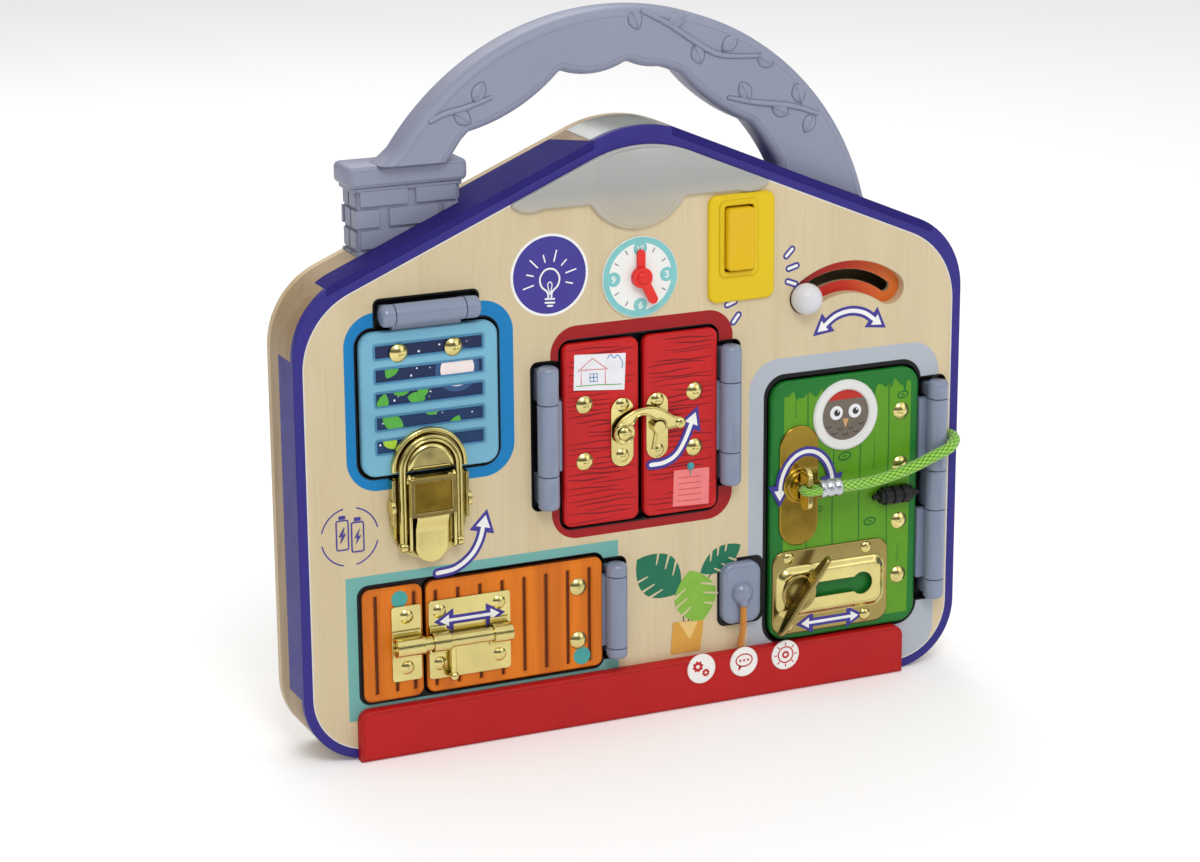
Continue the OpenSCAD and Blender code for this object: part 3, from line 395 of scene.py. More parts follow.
def timber(name, light, dark, grain, rough=0.55, coat=0.1, edge=0.6, pore_tone=0.2):
    """Plain sawn board: long streaks of two tones across a slow drift, and short dark pores."""
    mat, tree, shader = nodes_for(name, light, rough, coat=coat)
    streak = spots(tree, 60, grain, detail=6, distortion=0.8)
    drift = spots(tree, 9, grain, detail=2)
    pores = spots(tree, 900, grain, detail=1)
    base = ramp(tree, maths(tree, "MULTIPLY", streak, drift),
                [(0.14, dark), (0.26, light), (0.42, shade(light, 1.06))])
    pore = ramp(tree, pores, [(0.3, shade(dark, 0.85)), (0.42, (1, 1, 1, 1))])
    tree.links.new(blend_colours(tree, pore_tone, base, pore, "MULTIPLY"), shader.inputs["Base Color"])
    rounded(tree, shader, edge, pores, 0.12)
    return mat


def dress(material, slot, *names):
    """Give CAD nodes a material; the slot that it stands for is not used."""
    for name in names:
        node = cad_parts[name]
        for s in node.material_slots:
            s.material = material


def arc(x, z, r, start, end, n):
    """Points x + r cos t, z + r sin t, with t from start to end in degrees."""
    t = np.radians(np.linspace(start, end, n))
    return np.stack([x + r * np.cos(t), z + r * np.sin(t)], 1)


def disc(x, z, r, n=56):
    """Circle about (x, z) in n steps."""
    return [arc(x, z, r, 0, 360, n + 1)[:-1]]


def ring(x, z, r, hole, n=56):
    """Circle with a round hole."""
    return disc(x, z, r, n) + [disc(x, z, hole, n)[0][::-1]]


def box(x0, z0, x1, z1, r=0.0, n=7):
    """Rectangle whose corners are quarter circles of radius r."""
    if r <= 0:
        return [np.array([[x0, z0], [x1, z0], [x1, z1], [x0, z1]], float)]
    corners = [(x1 - r, z0 + r), (x1 - r, z1 - r), (x0 + r, z1 - r), (x0 + r, z0 + r)]
    return [np.concatenate([arc(*corner, r, 90 * k - 90, 90 * k, n)
                            for k, corner in enumerate(corners)])]


def inset(loop, b):
    """Loop moved b to its inner side, along mitred corners."""
    d = np.roll(loop, -1, 0) - loop
    d /= np.maximum(np.linalg.norm(d, axis=1), 1e-9)[:, None]
    normal = np.stack([-d[:, 1], d[:, 0]], 1)
    bisector = normal + np.roll(normal, 1, 0)
    bisector /= np.maximum(np.sum(bisector ** 2, 1), 0.4)[:, None] / 2
    return loop + b * bisector


def at_depth(loop, y):
    """Points (x, z) at depth y, which is one number or one for each point."""
    return np.stack([loop[:, 0], np.broadcast_to(y, len(loop)), loop[:, 1]], 1)


def slab(shape, y0, y1, bevel=0.0, back_bevel=None, steps=4):
    """Board between depths y0 and y1 with rounded rims. A shape is a list of loops (x, z), the
    outer one anticlockwise seen from the front and its holes clockwise. Rim ring t lies
    b (1 - sin t) inside the outline and b (1 - cos t) under the face, t from 0 to 90 degrees."""
    back_bevel = bevel if back_bevel is None else back_bevel
    curve = [(1 - math.sin(t), 1 - math.cos(t)) for t in np.linspace(0, np.pi / 2, steps)]
    rims = [(bevel * i, y0 + bevel * u) for i, u in curve] if bevel else [(0, y0)]
    rims += ([(back_bevel * i, y1 - back_bevel * u) for i, u in curve[::-1]] if back_bevel
             else [(0, y1)])
    verts, faces, count = [], [], 0
    caps = ([], [])
    for loop in shape:
        m = len(loop)
        for b, y in rims:
            verts.append(at_depth(inset(loop, b) if b else loop, y))
        for k in range(len(rims) - 1):
            a = count + k * m
            faces += [(a + i, a + (i + 1) % m, a + m + (i + 1) % m, a + m + i) for i in range(m)]
        caps[0].append((verts[-len(rims)], count))
        caps[1].append((verts[-1], count + (len(rims) - 1) * m))
        count += m * len(rims)
    for end, cap in enumerate(caps):
        index = [first + i for rows, first in cap for i in range(len(rows))]
        flat = np.concatenate([rows[:, [0, 2]] for rows, _ in cap])
        for tri in tessellate_polygon([[Vector((r[0], r[2], 0)) for r in rows] for rows, _ in cap]):
            (ax, az), (bx, bz), (cx, cz) = flat[list(tri)]
            turn = (bx - ax) * (cz - az) - (cx - ax) * (bz - az)
            order = tri if (turn > 0) == (end == 0) else tri[::-1]
            faces.append(tuple(index[i] for i in order))
    return np.concatenate(verts), faces


# The housing's timber is the wood's own tone, painted darker than the back panel's as shade on its
# sides.
housing_wood_shaded = timber("housing_wood_shaded", srgb(164, 140, 106), srgb(140, 112, 78), (1, 1, 0.07))
back_wood = timber("back_wood", srgb(206, 184, 146), srgb(188, 162, 122), (1, 1, 0.05),
                   edge=0.8, pore_tone=0.12)
inner_wood = timber("inner_wood", srgb(204, 184, 146), srgb(170, 142, 104), (0.07, 1, 1))
screw_zinc = polished("screw_zinc", srgb(186, 188, 192), 0.34, 0.2, (1, 1, 1))
cover_grey = plastic("cover_grey", srgb(140, 144, 160), 0.45)
dress(housing_wood_shaded, "natural_wood", "frame_shell")
dress(back_wood, "natural_wood", "back_panel")
dress(inner_wood, "natural_wood", "inner_board")
dress(screw_zinc, "steel", "body_screws")

BACK_Y = 32
lid_loop = box(-25.8, 128.2, 25.8, 171.8, 4)
cover_parts = [(*slab(lid_loop, BACK_Y - 1.8, BACK_Y, 0.05, 0.5), cover_grey)]
for k in range(5):
    z = 155.5 + 2.6 * k
    grip = box(-9, z, 9, z + 1.1, 0.5)
    cover_parts.append((*slab(grip, BACK_Y - 0.1, BACK_Y + 0.4, 0.05, 0.3), cover_grey))
screw_rim = ring(0, 130, 2.41, 1.25, 32)
cover_parts.append((*slab(screw_rim, BACK_Y - 0.1, BACK_Y + 0.3, 0.05, 0.2), cover_grey))
battery_lid = piece("battery_lid", cover_parts, "board")
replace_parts(battery_lid, "battery_cover")

# Rim and roof
# A painted band frames the face. The roof boards lie on the slopes with a gap for the
# lamp, and side boards are let flush into the housing.


def painted(name, colour, rough, coat, edge):
    """Sprayed paint on wood: faint mottling and orange peel, and a softly uneven sheen."""
    mat, tree, shader = nodes_for(name, colour, rough, coat=coat)
    mottled(tree, shader, colour, spots(tree, 38, detail=4), (0.3, 0.93), (0.7, 1.06))
    sheen_between(tree, shader, spots(tree, 90), rough - 0.06, rough + 0.1)
    rounded(tree, shader, edge, spots(tree, 1500, detail=2), 0.06)
    return mat


indigo = painted("indigo_paint", srgb(48, 40, 128), 0.5, 0.03, 1.0)
# A darker copy of the indigo paint for the roof boards, as painted shade.
indigo_shaded = painted("indigo_shaded", srgb(42, 36, 110), 0.7, 0.0, 0.8)
indigo_shaded.node_tree.nodes["Principled BSDF"].inputs["Specular IOR Level"].default_value = 0.12
dress(indigo, "purple_paint", "rim_band")
dress(indigo_shaded, "purple_paint", "roof_boards")

# Chimney
# A hollow moulded chimney stack with four courses of raised bricks and a slab cap. It
# carries one foot of the handle.
stone_grey = plastic("stone_grey", srgb(143, 147, 167), 0.42)
dress(stone_grey, "grey_plastic", "chimney")

cap_parts = [(*slab(box(-123.5, 238.5, -72.5, 247.5, 2.5), 12, 32, 1.6), stone_grey),
             (*slab(box(-121.6, 236.6, -74.4, 239.4, 0.8), 13.4, 31, 0.7), stone_grey)]
cap_slab = piece("cap_slab", cap_parts, "board")
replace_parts(cap_slab, "chimney_cap")

# Handle
# One thick moulded arch like a fallen branch. Finger grips scallop its underside and
# a vine with leaves is raised on its face.


def swung(u, v, x, z, turn):
    """Points (u, v) turned by degrees and moved to (x, z)."""
    c, s = math.cos(math.radians(turn)), math.sin(math.radians(turn))
    return np.stack([x + u * c - v * s, z + u * s + v * c], 1)


def poly(*points):
    """Polygon through points, put into anticlockwise order."""
    p = np.array(points, float)
    area = np.sum(p[:, 0] * np.roll(p[:, 1], -1) - np.roll(p[:, 0], -1) * p[:, 1])
    return [p if area > 0 else p[::-1]]


def leaf(x, z, length, width, turn):
    """Pointed leaf from its stalk end: half-width w sin(pi t)^0.8 along its length."""
    t = np.linspace(0, 1, 13)
    w = width / 2 * np.sin(np.pi * t) ** 0.8
    u = np.concatenate([t * length, (t * length)[-2:0:-1]])
    v = np.concatenate([-w, w[-2:0:-1]])
    return poly(*swung(u, v, x, z, turn))


HANDLE_FRONT = 8.0
CAP_TOP = 247.4
ROOF_PEAK = 261.4
ROOF_SLOPE = 22.9


def roof_line(x):
    """Height of the roof slopes over x: peak - |x| tan slope."""
    return ROOF_PEAK - abs(x) * math.tan(math.radians(ROOF_SLOPE))


def handle_outline():
    """Arch between two circles; the inner one is filled by four finger bulges (x, z, r), and
    each ray from its centre stops at the nearest of them."""
    outer = arc(-5.2, 185.5, 119.3, -4.0, 145.5, 120)
    outer = outer[outer[:, 1] > [roof_line(x) - 5 if x > 0 else 0 for x in outer[:, 0]]]
    centre, opening = np.array([-13.7, 190.8]), 91.9
    bulges = [(-89.4, 337.9, 81.3), (-19, 314, 36), (12, 307.5, 28.7), (87.7, 331.3, 85.9)]
    rows = []
    for a in np.radians(np.linspace(142.0, 20.0, 190)):
        d = np.array([math.cos(a), math.sin(a)])
        reach = opening
        for x, z, r in bulges:
            to = np.array([x, z]) - centre
            along = to @ d
            miss = to @ to - along ** 2
            if miss < r * r:
                reach = min(reach, along - math.sqrt(r * r - miss))
        rows.append(centre + reach * d)
    inner = np.array(rows)
    keep = (inner[:, 1] > 258.3) | (inner[:, 0] > 0)
    keep &= (inner[:, 0] < 0) | (inner[:, 1] > [roof_line(x) for x in inner[:, 0]])
    inner = inner[keep]
    foot = np.array([[-107.7, 249.6], [-111.4, 242.6], [-81.8, 242.6], [-81.4, CAP_TOP],
                     [-78.6, 251.2], [-75.6, 255.4]])
    ends = np.array([[inner[-1, 0] + 0.2, roof_line(inner[-1, 0]) - 5]])
    return [np.concatenate([outer, foot, inner, ends])]


def vine(points, radius):
    """Stem laid half into the front of the handle along points (x, z)."""
    line = smooth(points, 7)
    ends = np.sin(np.linspace(0.25, np.pi - 0.25, len(line))) ** 0.3
    return (*tube(at_depth(line, HANDLE_FRONT + 0.1), radius * ends, 10)[:2], stone_grey)


def vine_leaf(x, z, length, width, turn):
    """Raised leaf: its outline shrinks by s to its middle while it rises 1.1 (1 - s^3) mm,
    with a rib on it."""
    loop = leaf(x, z, length, width, turn)[0]
    middle = loop.mean(0)
    rows = [at_depth(middle + s * (loop - middle), HANDLE_FRONT + 0.15 - 1.1 * (1 - s ** 3))
            for s in np.linspace(0.001, 1, 7)]
    along = np.linspace(0.1, 0.85, 5) * length
    line = swung(along, 0 * along, x, z, turn)
    rib = tube(at_depth(line, HANDLE_FRONT - 0.85), [0.5, 0.48, 0.42, 0.34, 0.2], 8)
    return [(*surface(rows, closed=True), stone_grey), (*rib[:2], stone_grey)]


arch, arch_faces = slab(handle_outline(), HANDLE_FRONT, 25, 3.6, steps=6)
feet = np.where(arch[:, 0] < 0, CAP_TOP, [roof_line(x) - 0.2 for x in arch[:, 0]])
arch[:, 2] = np.where((abs(arch[:, 0]) > 70) & (arch[:, 2] < feet), feet, arch[:, 2])
arch_parts = [(arch, arch_faces, stone_grey)]
for stem in ([(-90.2, 264.2), (-84, 267), (-75, 268.8), (-62.9, 272.3)],
             [(3.7, 303.1), (16.6, 296.2), (31.6, 286.2), (41.5, 281.8), (58.4, 280.3)],
             [(43.5, 263.9), (56.4, 260.9), (74.3, 257.9), (86.6, 253.6)]):
    arch_parts.append(vine(stem, 1.25))
for x, z, turn in [(-71, 270.4, 62), (-80, 267.8, -35), (-1, 304, -68), (15.4, 296, 22),
                   (27.8, 287.6, -68), (40.4, 283.6, 36), (57, 281, -34), (54, 261.6, 118),
                   (64, 259, -28), (78.6, 258.4, 110), (84.6, 254.2, -118)]:
    arch_parts += vine_leaf(x, z, 9.8, 6.6, turn)
branch_handle = piece("branch_handle", arch_parts, "board", angle=45)
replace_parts(branch_handle, "handle")

# Face
# Pale stained plywood with coloured fields printed round the doors and a thin white
# line along its edge. Black is painted round each door, hinge and the strike box as the shade in their
# gaps.


def ink(name, colour, rough=0.5):
    """Printed colour: matt, with the faint unevenness of a screen print."""
    mat, tree, shader = nodes_for(name, colour, rough)
    mottled(tree, shader, colour, spots(tree, 220, detail=4), (0.25, 0.94), (0.75, 1.05))
    relief(tree, shader, spots(tree, 1800, detail=2), 0.05, 0.0001)
    return mat


def print_on(name, body, y, layers):
    """Printed picture on a surface at depth y: (layer, ink, shape) rows, each layer 0.05 mm up."""
    piece(name, [(*slab(shape, y - 0.05 * layer, y + 0.02), colour)
                 for layer, colour, shape in layers], body)


def house(w, apex, base, eave_r, base_r, peak_r, n=14):
    """Outline of the house: arcs at the base, the eaves and the peak, joined by straight sides."""
    slope = math.radians(ROOF_SLOPE)
    eave = apex - (w - eave_r) * math.tan(slope) - eave_r / math.cos(slope)
    peak = apex - peak_r / math.cos(slope)
    steep = 90 - ROOF_SLOPE
    return [np.concatenate([
        arc(w - base_r, base + base_r, base_r, -90, 0, n), arc(w - eave_r, eave, eave_r, 0, steep, n),
        arc(0, peak, peak_r, steep, 180 - steep, n),
        arc(eave_r - w, eave, eave_r, 180 - steep, 180, n),
        arc(base_r - w, base + base_r, base_r, 180, 270, n)])]


def field(tree, where, x0, z0, x1, z1, r):
    """1 inside a rounded rectangle in mm: |max(|p - c| - (h - r), 0)| < r."""
    centre = ((x0 + x1) / 2000, 0, (z0 + z1) / 2000)
    half = (((x1 - x0) / 2 - r) / 1000, 0, ((z1 - z0) / 2 - r) / 1000)
    for kind, *value in (("SUBTRACT", centre), ("MULTIPLY", (1, 0, 1)), ("ABSOLUTE",),
                         ("SUBTRACT", half), ("MAXIMUM", (0, 0, 0))):
        step = put(tree, "VectorMath", dict(enumerate([where, *value])), operation=kind)
        where = step.outputs["Vector"]
    far = put(tree, "VectorMath", {0: where}, operation="LENGTH")
    edge = put(tree, "MapRange", {"Value": far.outputs["Value"], "From Min": (r + 0.06) / 1000,
                                  "From Max": (r - 0.06) / 1000})
    return edge.outputs["Result"]


def tinted(material, fields):
    """Lay fields (colour, x0, z0, x1, z1, r) over the material's base colour."""
    tree = material.node_tree
    base = tree.nodes["Principled BSDF"].inputs["Base Color"]
    where = put(tree, "TexCoord").outputs["Object"]
    colour = base.links[0].from_socket
    for tint, *place in fields:
        colour = blend_colours(tree, field(tree, where, *place), colour, tint)
    tree.links.new(colour, base)


FACE_FRONT = 0.0
face_wood = timber("face_wood", srgb(210, 193, 157), srgb(204, 185, 147), (1, 1, 0.04), rough=0.5,
                   coat=0.04, edge=0.8, pore_tone=0.08)
teal_print, grey_print = srgb(112, 172, 166), srgb(176, 183, 192)
blue_print, red_print, gap_shade_black = srgb(0, 122, 184), srgb(156, 14, 20), srgb(12, 11, 16)
# The black fields are painted shade in the gaps round the doors, hinges and strike box.
tinted(face_wood, [
    (teal_print, -134.5, 17, -11.5, 79.7, 0.5), (grey_print, 50.5, 5, 143.8, 150.5, 14),
    (blue_print, -132.5, 115.5, -58.5, 190.5, 14), (red_print, -42, 83, 42.5, 175.5, 12),
    (gap_shade_black, -128.2, 120.2, -64.6, 184.4, 8), (gap_shade_black, -119.6, 180, -73.2, 196, 3),
    (gap_shade_black, -38.6, 86.8, 36.1, 169.8, 6), (gap_shade_black, -51.2, 97, -38, 161.8, 3.5),
    (gap_shade_black, 34, 97, 46.4, 161.8, 3.5), (gap_shade_black, -129.8, 23.2, -18.2, 75.6, 5),
    (gap_shade_black, -22, 26.6, -7.6, 72.4, 3.5), (gap_shade_black, 57.6, 21, 135, 143.4, 10),
    (gap_shade_black, 131, 30.8, 147.8, 134.6, 3.5), (gap_shade_black, 35.6, 33, 58, 63.6, 4)])
dress(face_wood, "cream_panel", "front_panel")

white_ink = ink("white_ink", srgb(238, 238, 236))
purple_ink = ink("purple_ink", srgb(66, 58, 146))
edge_line = house(150, 254, 4, 34, 25, 58)[0]
rim_white = ink("rim_white", srgb(218, 214, 206), 0.7)
white_line = [edge_line, inset(edge_line, 0.6)[::-1]]
print_on("edge_line", "board", FACE_FRONT, [(1, rim_white, white_line)])

# Plinth
# A painted moulding along the foot of the face, with three small round picture tabs.
# The tabs show cogs, a speech bubble and a sun in red line.


def oval(x, z, a, b, turn=0, n=40):
    """Ellipse a cos t, b sin t, turned by degrees."""
    t = np.linspace(0, 2 * np.pi, n, endpoint=False)
    return [swung(a * np.cos(t), b * np.sin(t), x, z, turn)]


def minus(shape, *holes):
    """The shape with other shapes' outer outlines as holes."""
    return list(shape) + [h[0][::-1] for h in holes]


def stroke(points, width, taper=1.0, n=6):
    """Pen stroke of a width along points with round ends; taper scales the width at the far end."""
    p = np.array(points, float)
    d = np.gradient(p, axis=0)
    d /= np.maximum(np.linalg.norm(d, axis=1), 1e-9)[:, None]
    side = np.stack([d[:, 1], -d[:, 0]], 1)
    half = np.linspace(width, width * taper, len(p))[:, None] / 2
    a = np.linspace(0, np.pi, n + 2)[1:-1, None]
    far = p[-1] + half[-1] * (np.cos(a) * side[-1] + np.sin(a) * d[-1])
    near = p[0] - half[0] * (np.cos(a) * side[0] + np.sin(a) * d[0])
    return poly(*np.concatenate([p + half * side, far, (p - half * side)[::-1], near]))


def spoke(x, z, inner, outer, turn):
    """Line between two radii about (x, z), at an angle in degrees."""
    d = np.array([math.cos(math.radians(turn)), math.sin(math.radians(turn))])
    return [(x, z) + inner * d, (x, z) + outer * d]


TABS_X = (25.6, 46.2, 66.6)
TAB_FRONT = -5.5
plinth_red = painted("plinth_red", srgb(182, 16, 16), 0.5, 0.03, 0.8)
badge_white = plastic("badge_white", srgb(240, 238, 234), 0.42, 0.2)
red_ink = ink("red_ink", srgb(190, 32, 34))
plinth_loop = poly((-131, 0), (126, 0), *arc(121, 17, 5, 0, 90, 8), *arc(-126, 17, 5, 90, 180, 8))
plinth_parts = [(*slab(plinth_loop, -5, 0, 1.1, 0.1), plinth_red)]
for x in TABS_X:
    plinth_parts.append((*slab(disc(x, 17.2, 6.7), TAB_FRONT, TAB_FRONT + 0.6, 0.3, 0), badge_white))
plinth = piece("plinth", plinth_parts, "board")
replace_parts(plinth, "plinth_band")


def cog(x, z, r, teeth, hole):
    """Gear wheel: radius r with square teeth out to 1.24 r."""
    t = np.linspace(0, 2 * np.pi, teeth * 8, endpoint=False)
    rad = np.where(np.sin(teeth * t) > 0, r * 1.24, r)
    return [np.stack([x + rad * np.cos(t), z + rad * np.sin(t)], 1), disc(x, z, hole, 20)[0][::-1]]


cog_x, speech_x, sun_x = TABS_X
pictures = [cog(cog_x - 1.8, 18.4, 2.1, 8, 0.9), cog(cog_x + 2, 15.2, 1.5, 8, 0.6),
            minus(oval(speech_x, 18, 4.2, 3.1), oval(speech_x, 18, 3.6, 2.5)),
            poly((43.6, 16.2), (45.2, 15.2), (43.4, 13.2)),
            ring(sun_x, 17.4, 3.9, 3.3, 40), ring(sun_x, 17.4, 1.7, 0.8, 24)]
pictures += [disc(speech_x + d, 18, 0.55, 16) for d in (-1.9, 0, 1.9)]
pictures += [stroke(spoke(sun_x, 17.4, 4.3, 5.4, a), 0.5) for a in np.arange(0, 360, 45)]
print_on("tab_pictures", "board", TAB_FRONT, [(1, red_ink, shape) for shape in pictures])

# Lamp
# Three small lamps shine through a clear dome in the roof gap. A thin milky cover in
# the shape of a cloud spreads the light over the face below it.


def faded(tree, shader, axis, start, end, stops):
    """Base colour that runs through (place, colour) stops along one axis, from start to end in
    mm of the row frame."""
    at = put(tree, "SeparateXYZ", {"Vector": put(tree, "TexCoord").outputs["Object"]})
    run = put(tree, "MapRange", {"Value": at.outputs[axis], "From Min": start / 1000,
                                 "From Max": end / 1000})
    tree.links.new(ramp(tree, run.outputs["Result"], stops), shader.inputs["Base Color"])


def pad(loop, front, y1, bevel):
    """Raised form over an outline: rings shrink to its middle, each point at depth
    front(x, z), with a rounded rim and straight sides down to y1."""
    middle = loop.mean(0)
    inner = inset(loop, bevel)
    rings = [(middle + s * (inner - middle), 0) for s in np.linspace(0.001, 1, 9)]
    rings += [(inset(loop, bevel * (1 - math.sin(t))), bevel * (1 - math.cos(t)))
              for t in np.linspace(0, np.pi / 2, 6)[1:]]
    rows = [at_depth(p, front(*p.T) + under) for p, under in rings]
    return surface(rows + [at_depth(loop, float(y1))], closed=True)


LENS_X, LENS_Z, LENS_R = -2, 235, 20
COVER_FRONT = -1.6
PUFFS = [(-50, 239, 14), (-33, 241, 15), (33, 241, 15), (50, 239, 14), (-2, 239.5, 25.5)]
milky, milky_tree, milky_shader = nodes_for("milky_cover", srgb(188, 189, 184), 0.34, coat=0.12)
# The cover's colour is warm at its foot where the wood shows through, darker across the lens, and
# lighter towards its top as painted light.
faded(milky_tree, milky_shader, "Z", 214, 254, [
    (0.0, srgb(190, 180, 158)), (0.3, srgb(178, 173, 160)), (0.45, srgb(162, 163, 160)),
    (0.8, srgb(172, 173, 170)), (1.0, srgb(198, 198, 195))])
relief(milky_tree, milky_shader, spots(milky_tree, 700), 0.04, 0.0002)
lamp_clear = plastic("lamp_clear", srgb(222, 226, 218), 0.12)
lamp_clear.node_tree.nodes["Principled BSDF"].inputs["Transmission Weight"].default_value = 0.6
board_green = plastic("board_green", srgb(47, 122, 69), 0.5)
dress(lamp_clear, "white_plastic", "lamp_dome")
dress(board_green, "circuit_board", "lamp_board")
face_top = inset(edge_line, 0.1)
face_top = face_top[face_top[:, 1] > 190]


def cloud_outline():
    """Between the lower edge of the puffs (x, z, r) and the top edge of the face."""
    top = face_top[np.argsort(face_top[:, 0])]
    x = np.linspace(-64, 64, 170)
    low = np.where(np.abs(x) <= 50, 226.0, 300.0)
    for cx, cz, r in PUFFS:
        under = cz - np.sqrt(np.maximum(r * r - (x - cx) ** 2, 0))
        low = np.where(np.abs(x - cx) < r, np.minimum(low, under), low)
    high = np.interp(x, top[:, 0], top[:, 1])
    keep = high > low + 0.2
    return poly(*zip(x[keep], low[keep]), *zip(x[keep][::-1], high[keep][::-1]))


def lens_front(x, z):
    """Shallow lens: 3.37 (1 - d^2 / r^2)^1.5 mm high, so that it runs out into the cover."""
    far = ((x - LENS_X) ** 2 + (z - LENS_Z) ** 2) / LENS_R ** 2
    return COVER_FRONT - 0.03 - 3.37 * np.clip(1 - far, 0, 1) ** 1.5


lens_loop = disc(LENS_X, LENS_Z, LENS_R, 72)[0]
lens_top = np.interp(lens_loop[:, 0], *face_top[::-1].T) - 1
lens_loop[:, 1] = np.minimum(lens_loop[:, 1], lens_top)
cloud_parts = [(*slab(cloud_outline(), COVER_FRONT, 0, 0.7, 0), milky),
               (*pad(lens_loop, lens_front, -1.5, 0.01), milky)]
cloud = piece("cloud", cloud_parts, "board", 50)
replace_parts(cloud, "cloud_cover")
# A thin brown arc under the lower half of the lens is its painted shadow on the cover.
lens_shadow_ink = ink("lens_shadow_ink", srgb(182, 166, 136))
lens_shadow_arc = stroke(arc(LENS_X, LENS_Z, 19.6, 206, 334, 48), 0.45)
print_on("lens_shadow_arc", "board", COVER_FRONT - 0.04, [(1, lens_shadow_ink, lens_shadow_arc)])

# Switch
# A yellow moulded plate with a raised surround. Its amber rocker tips on a hidden pin,
# eight degrees each way.
ROCKER_Z, ROCKER_HALF = 205.6, 13.4
switch_yellow = plastic("switch_yellow", srgb(222, 190, 10), 0.3, 0.3)
rocker_amber = plastic("rocker_amber", srgb(222, 180, 14), 0.26, 0.3)
switch_base = minus(box(30.5, 178.3, 61.5, 224.6, 4), box(37.6, 191.4, 51.2, 219.8, 1))
surround = minus(box(35.2, 189, 53.6, 222.2, 3), box(37.7, 191.5, 51.1, 219.7, 1))
switch_frame = piece("switch_frame", [
    (*slab(switch_base, -1.5, 0, 0.7, 0), switch_yellow),
    (*slab(surround, -2.1, -1.2, 0.45, 0), switch_yellow)], "board")
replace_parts(switch_frame, "switch_plate")


def rocker_front(x, z):
    """Rocker hollowed over its pin: 4 + ((z - middle) / half length)^2 mm in front of the face."""
    return -4.0 - ((z - ROCKER_Z) / ROCKER_HALF) ** 2


rocker_loop = box(38, ROCKER_Z - ROCKER_HALF, 50.8, ROCKER_Z + ROCKER_HALF, 2.0)[0]
rocker = piece("rocker_key", [(*pad(rocker_loop, rocker_front, 1.5, 1.3), rocker_amber)], "rocker",
               50)
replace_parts(rocker, "switch_rocker")

# Clock
# A white moulded dial on the face, printed with four numbers on a teal ring. Two red
# hands turn on a rivet at its middle.
DIAL_X, DIAL_Z, DIAL_FRONT = -1.2, 193.4, -1.0
HUB = 2.9
clock_teal = ink("clock_teal", srgb(128, 196, 196))
clock_white = plastic("clock_white", srgb(236, 236, 232), 0.4, 0.2)
clock_grey = ink("clock_grey", srgb(120, 126, 138))
hand_red = plastic("hand_red", srgb(226, 44, 38), 0.3, 0.25)
tinted(clock_white, [(srgb(226, 44, 38), DIAL_X - HUB, DIAL_Z - HUB, DIAL_X + HUB, DIAL_Z + HUB, HUB)])
dress(clock_white, "white_plastic", "clock_dial")
dress(hand_red, "red_plastic", "hour_hand", "minute_hand")
digits = {
    "1": [(-0.5, 0.7), (0.1, 1.2), (0.1, -1.2)],
    "2": [(-0.75, 0.6), (-0.3, 1.2), (0.5, 1.1), (0.7, 0.5), (-0.75, -1.2), (0.8, -1.2)],
    "3": [(-0.7, 0.9), (0.1, 1.25), (0.7, 0.7), (0, 0.1), (0.75, -0.5), (0.1, -1.25), (-0.75, -0.9)],
    "6": [(0.5, 1.2), (-0.4, 0.5), (-0.7, -0.5), (0, -1.25), (0.7, -0.55), (0, 0.05), (-0.65, -0.5)]}
digits["9"] = [(-x, -z) for x, z in digits["6"]]


def number(text, x, z, size):
    """Number drawn as pen strokes about a middle, its figures 1.9 sizes apart."""
    shapes = []
    for k, char in enumerate(text):
        cx = x + (k - (len(text) - 1) / 2) * 1.9 * size
        p = np.array(digits[char]) * size + (cx, z)
        shapes.append(stroke(smooth(p, 5) if char in "369" else p, 0.5 * size))
    return shapes


dial = [(1, clock_teal, ring(DIAL_X, DIAL_Z, 17.0, 14.4, 80))]
for text, dx, dz in (("12", 0, 12.1), ("3", 12.2, 0), ("6", 0, -12.1), ("9", -12.2, 0)):
    x, z = DIAL_X + dx, DIAL_Z + dz
    dial.append((1.6, clock_teal, disc(x, z, 3.1, 32)))
    dial += [(2.4, white_ink, s) for s in number(text, x, z, 1.05 if len(text) == 1 else 0.9)]
for a in (60, 30, -30, -60, -120, -150, -210, -240):
    dial.append((1, clock_grey, stroke(spoke(DIAL_X, DIAL_Z, 11.6, 13.4, a), 0.5)))
print_on("dial_print", "board", DIAL_FRONT, dial)

# Slider
# A plastic ball runs along an arc-shaped groove cut into the face. The groove's floor is
# printed from red to orange on each side of the slot that guides the ball.
TRACK = (97.6, 149)
TRACK_R = 34.1
TRACK_REACH = 37.6
TRACK_FLOOR = 5.0
heat, heat_tree, heat_shader = nodes_for("heat_print", srgb(190, 40, 30), 0.45)
faded(heat_tree, heat_shader, "X", 72, 126, [
    (0.0, srgb(176, 26, 30)), (0.5, srgb(196, 44, 26)), (1.0, srgb(222, 120, 44))])
rounded(heat_tree, heat_shader, 0.2, spots(heat_tree, 1500), 0.05)


def arc_band(half):
    """Band of a half width along the track, its two ends half circles."""
    low, high = 90 - TRACK_REACH, 90 + TRACK_REACH
    left_end, right_end = arc(*TRACK, TRACK_R, high, low, 2)
    return poly(*arc(*TRACK, TRACK_R + half, low, high, 40),
                *arc(*left_end, half, high, high + 180, 10)[1:-1],
                *arc(*TRACK, TRACK_R - half, high, low, 40),
                *arc(*right_end, half, low - 180, low, 10)[1:-1])


print_on("groove_print", "board", TRACK_FLOOR, [(1, heat, minus(arc_band(7.3), arc_band(2.5)))])
ball_grey = plastic("ball_grey", srgb(214, 214, 218), 0.22, 0.1)
dress(ball_grey, "ball_plastic", "slider_ball")

# Hinges
# Every door turns on a steel pin through rounded moulded barrels, some of them fixed to
# the board and the others on the door's leaf.


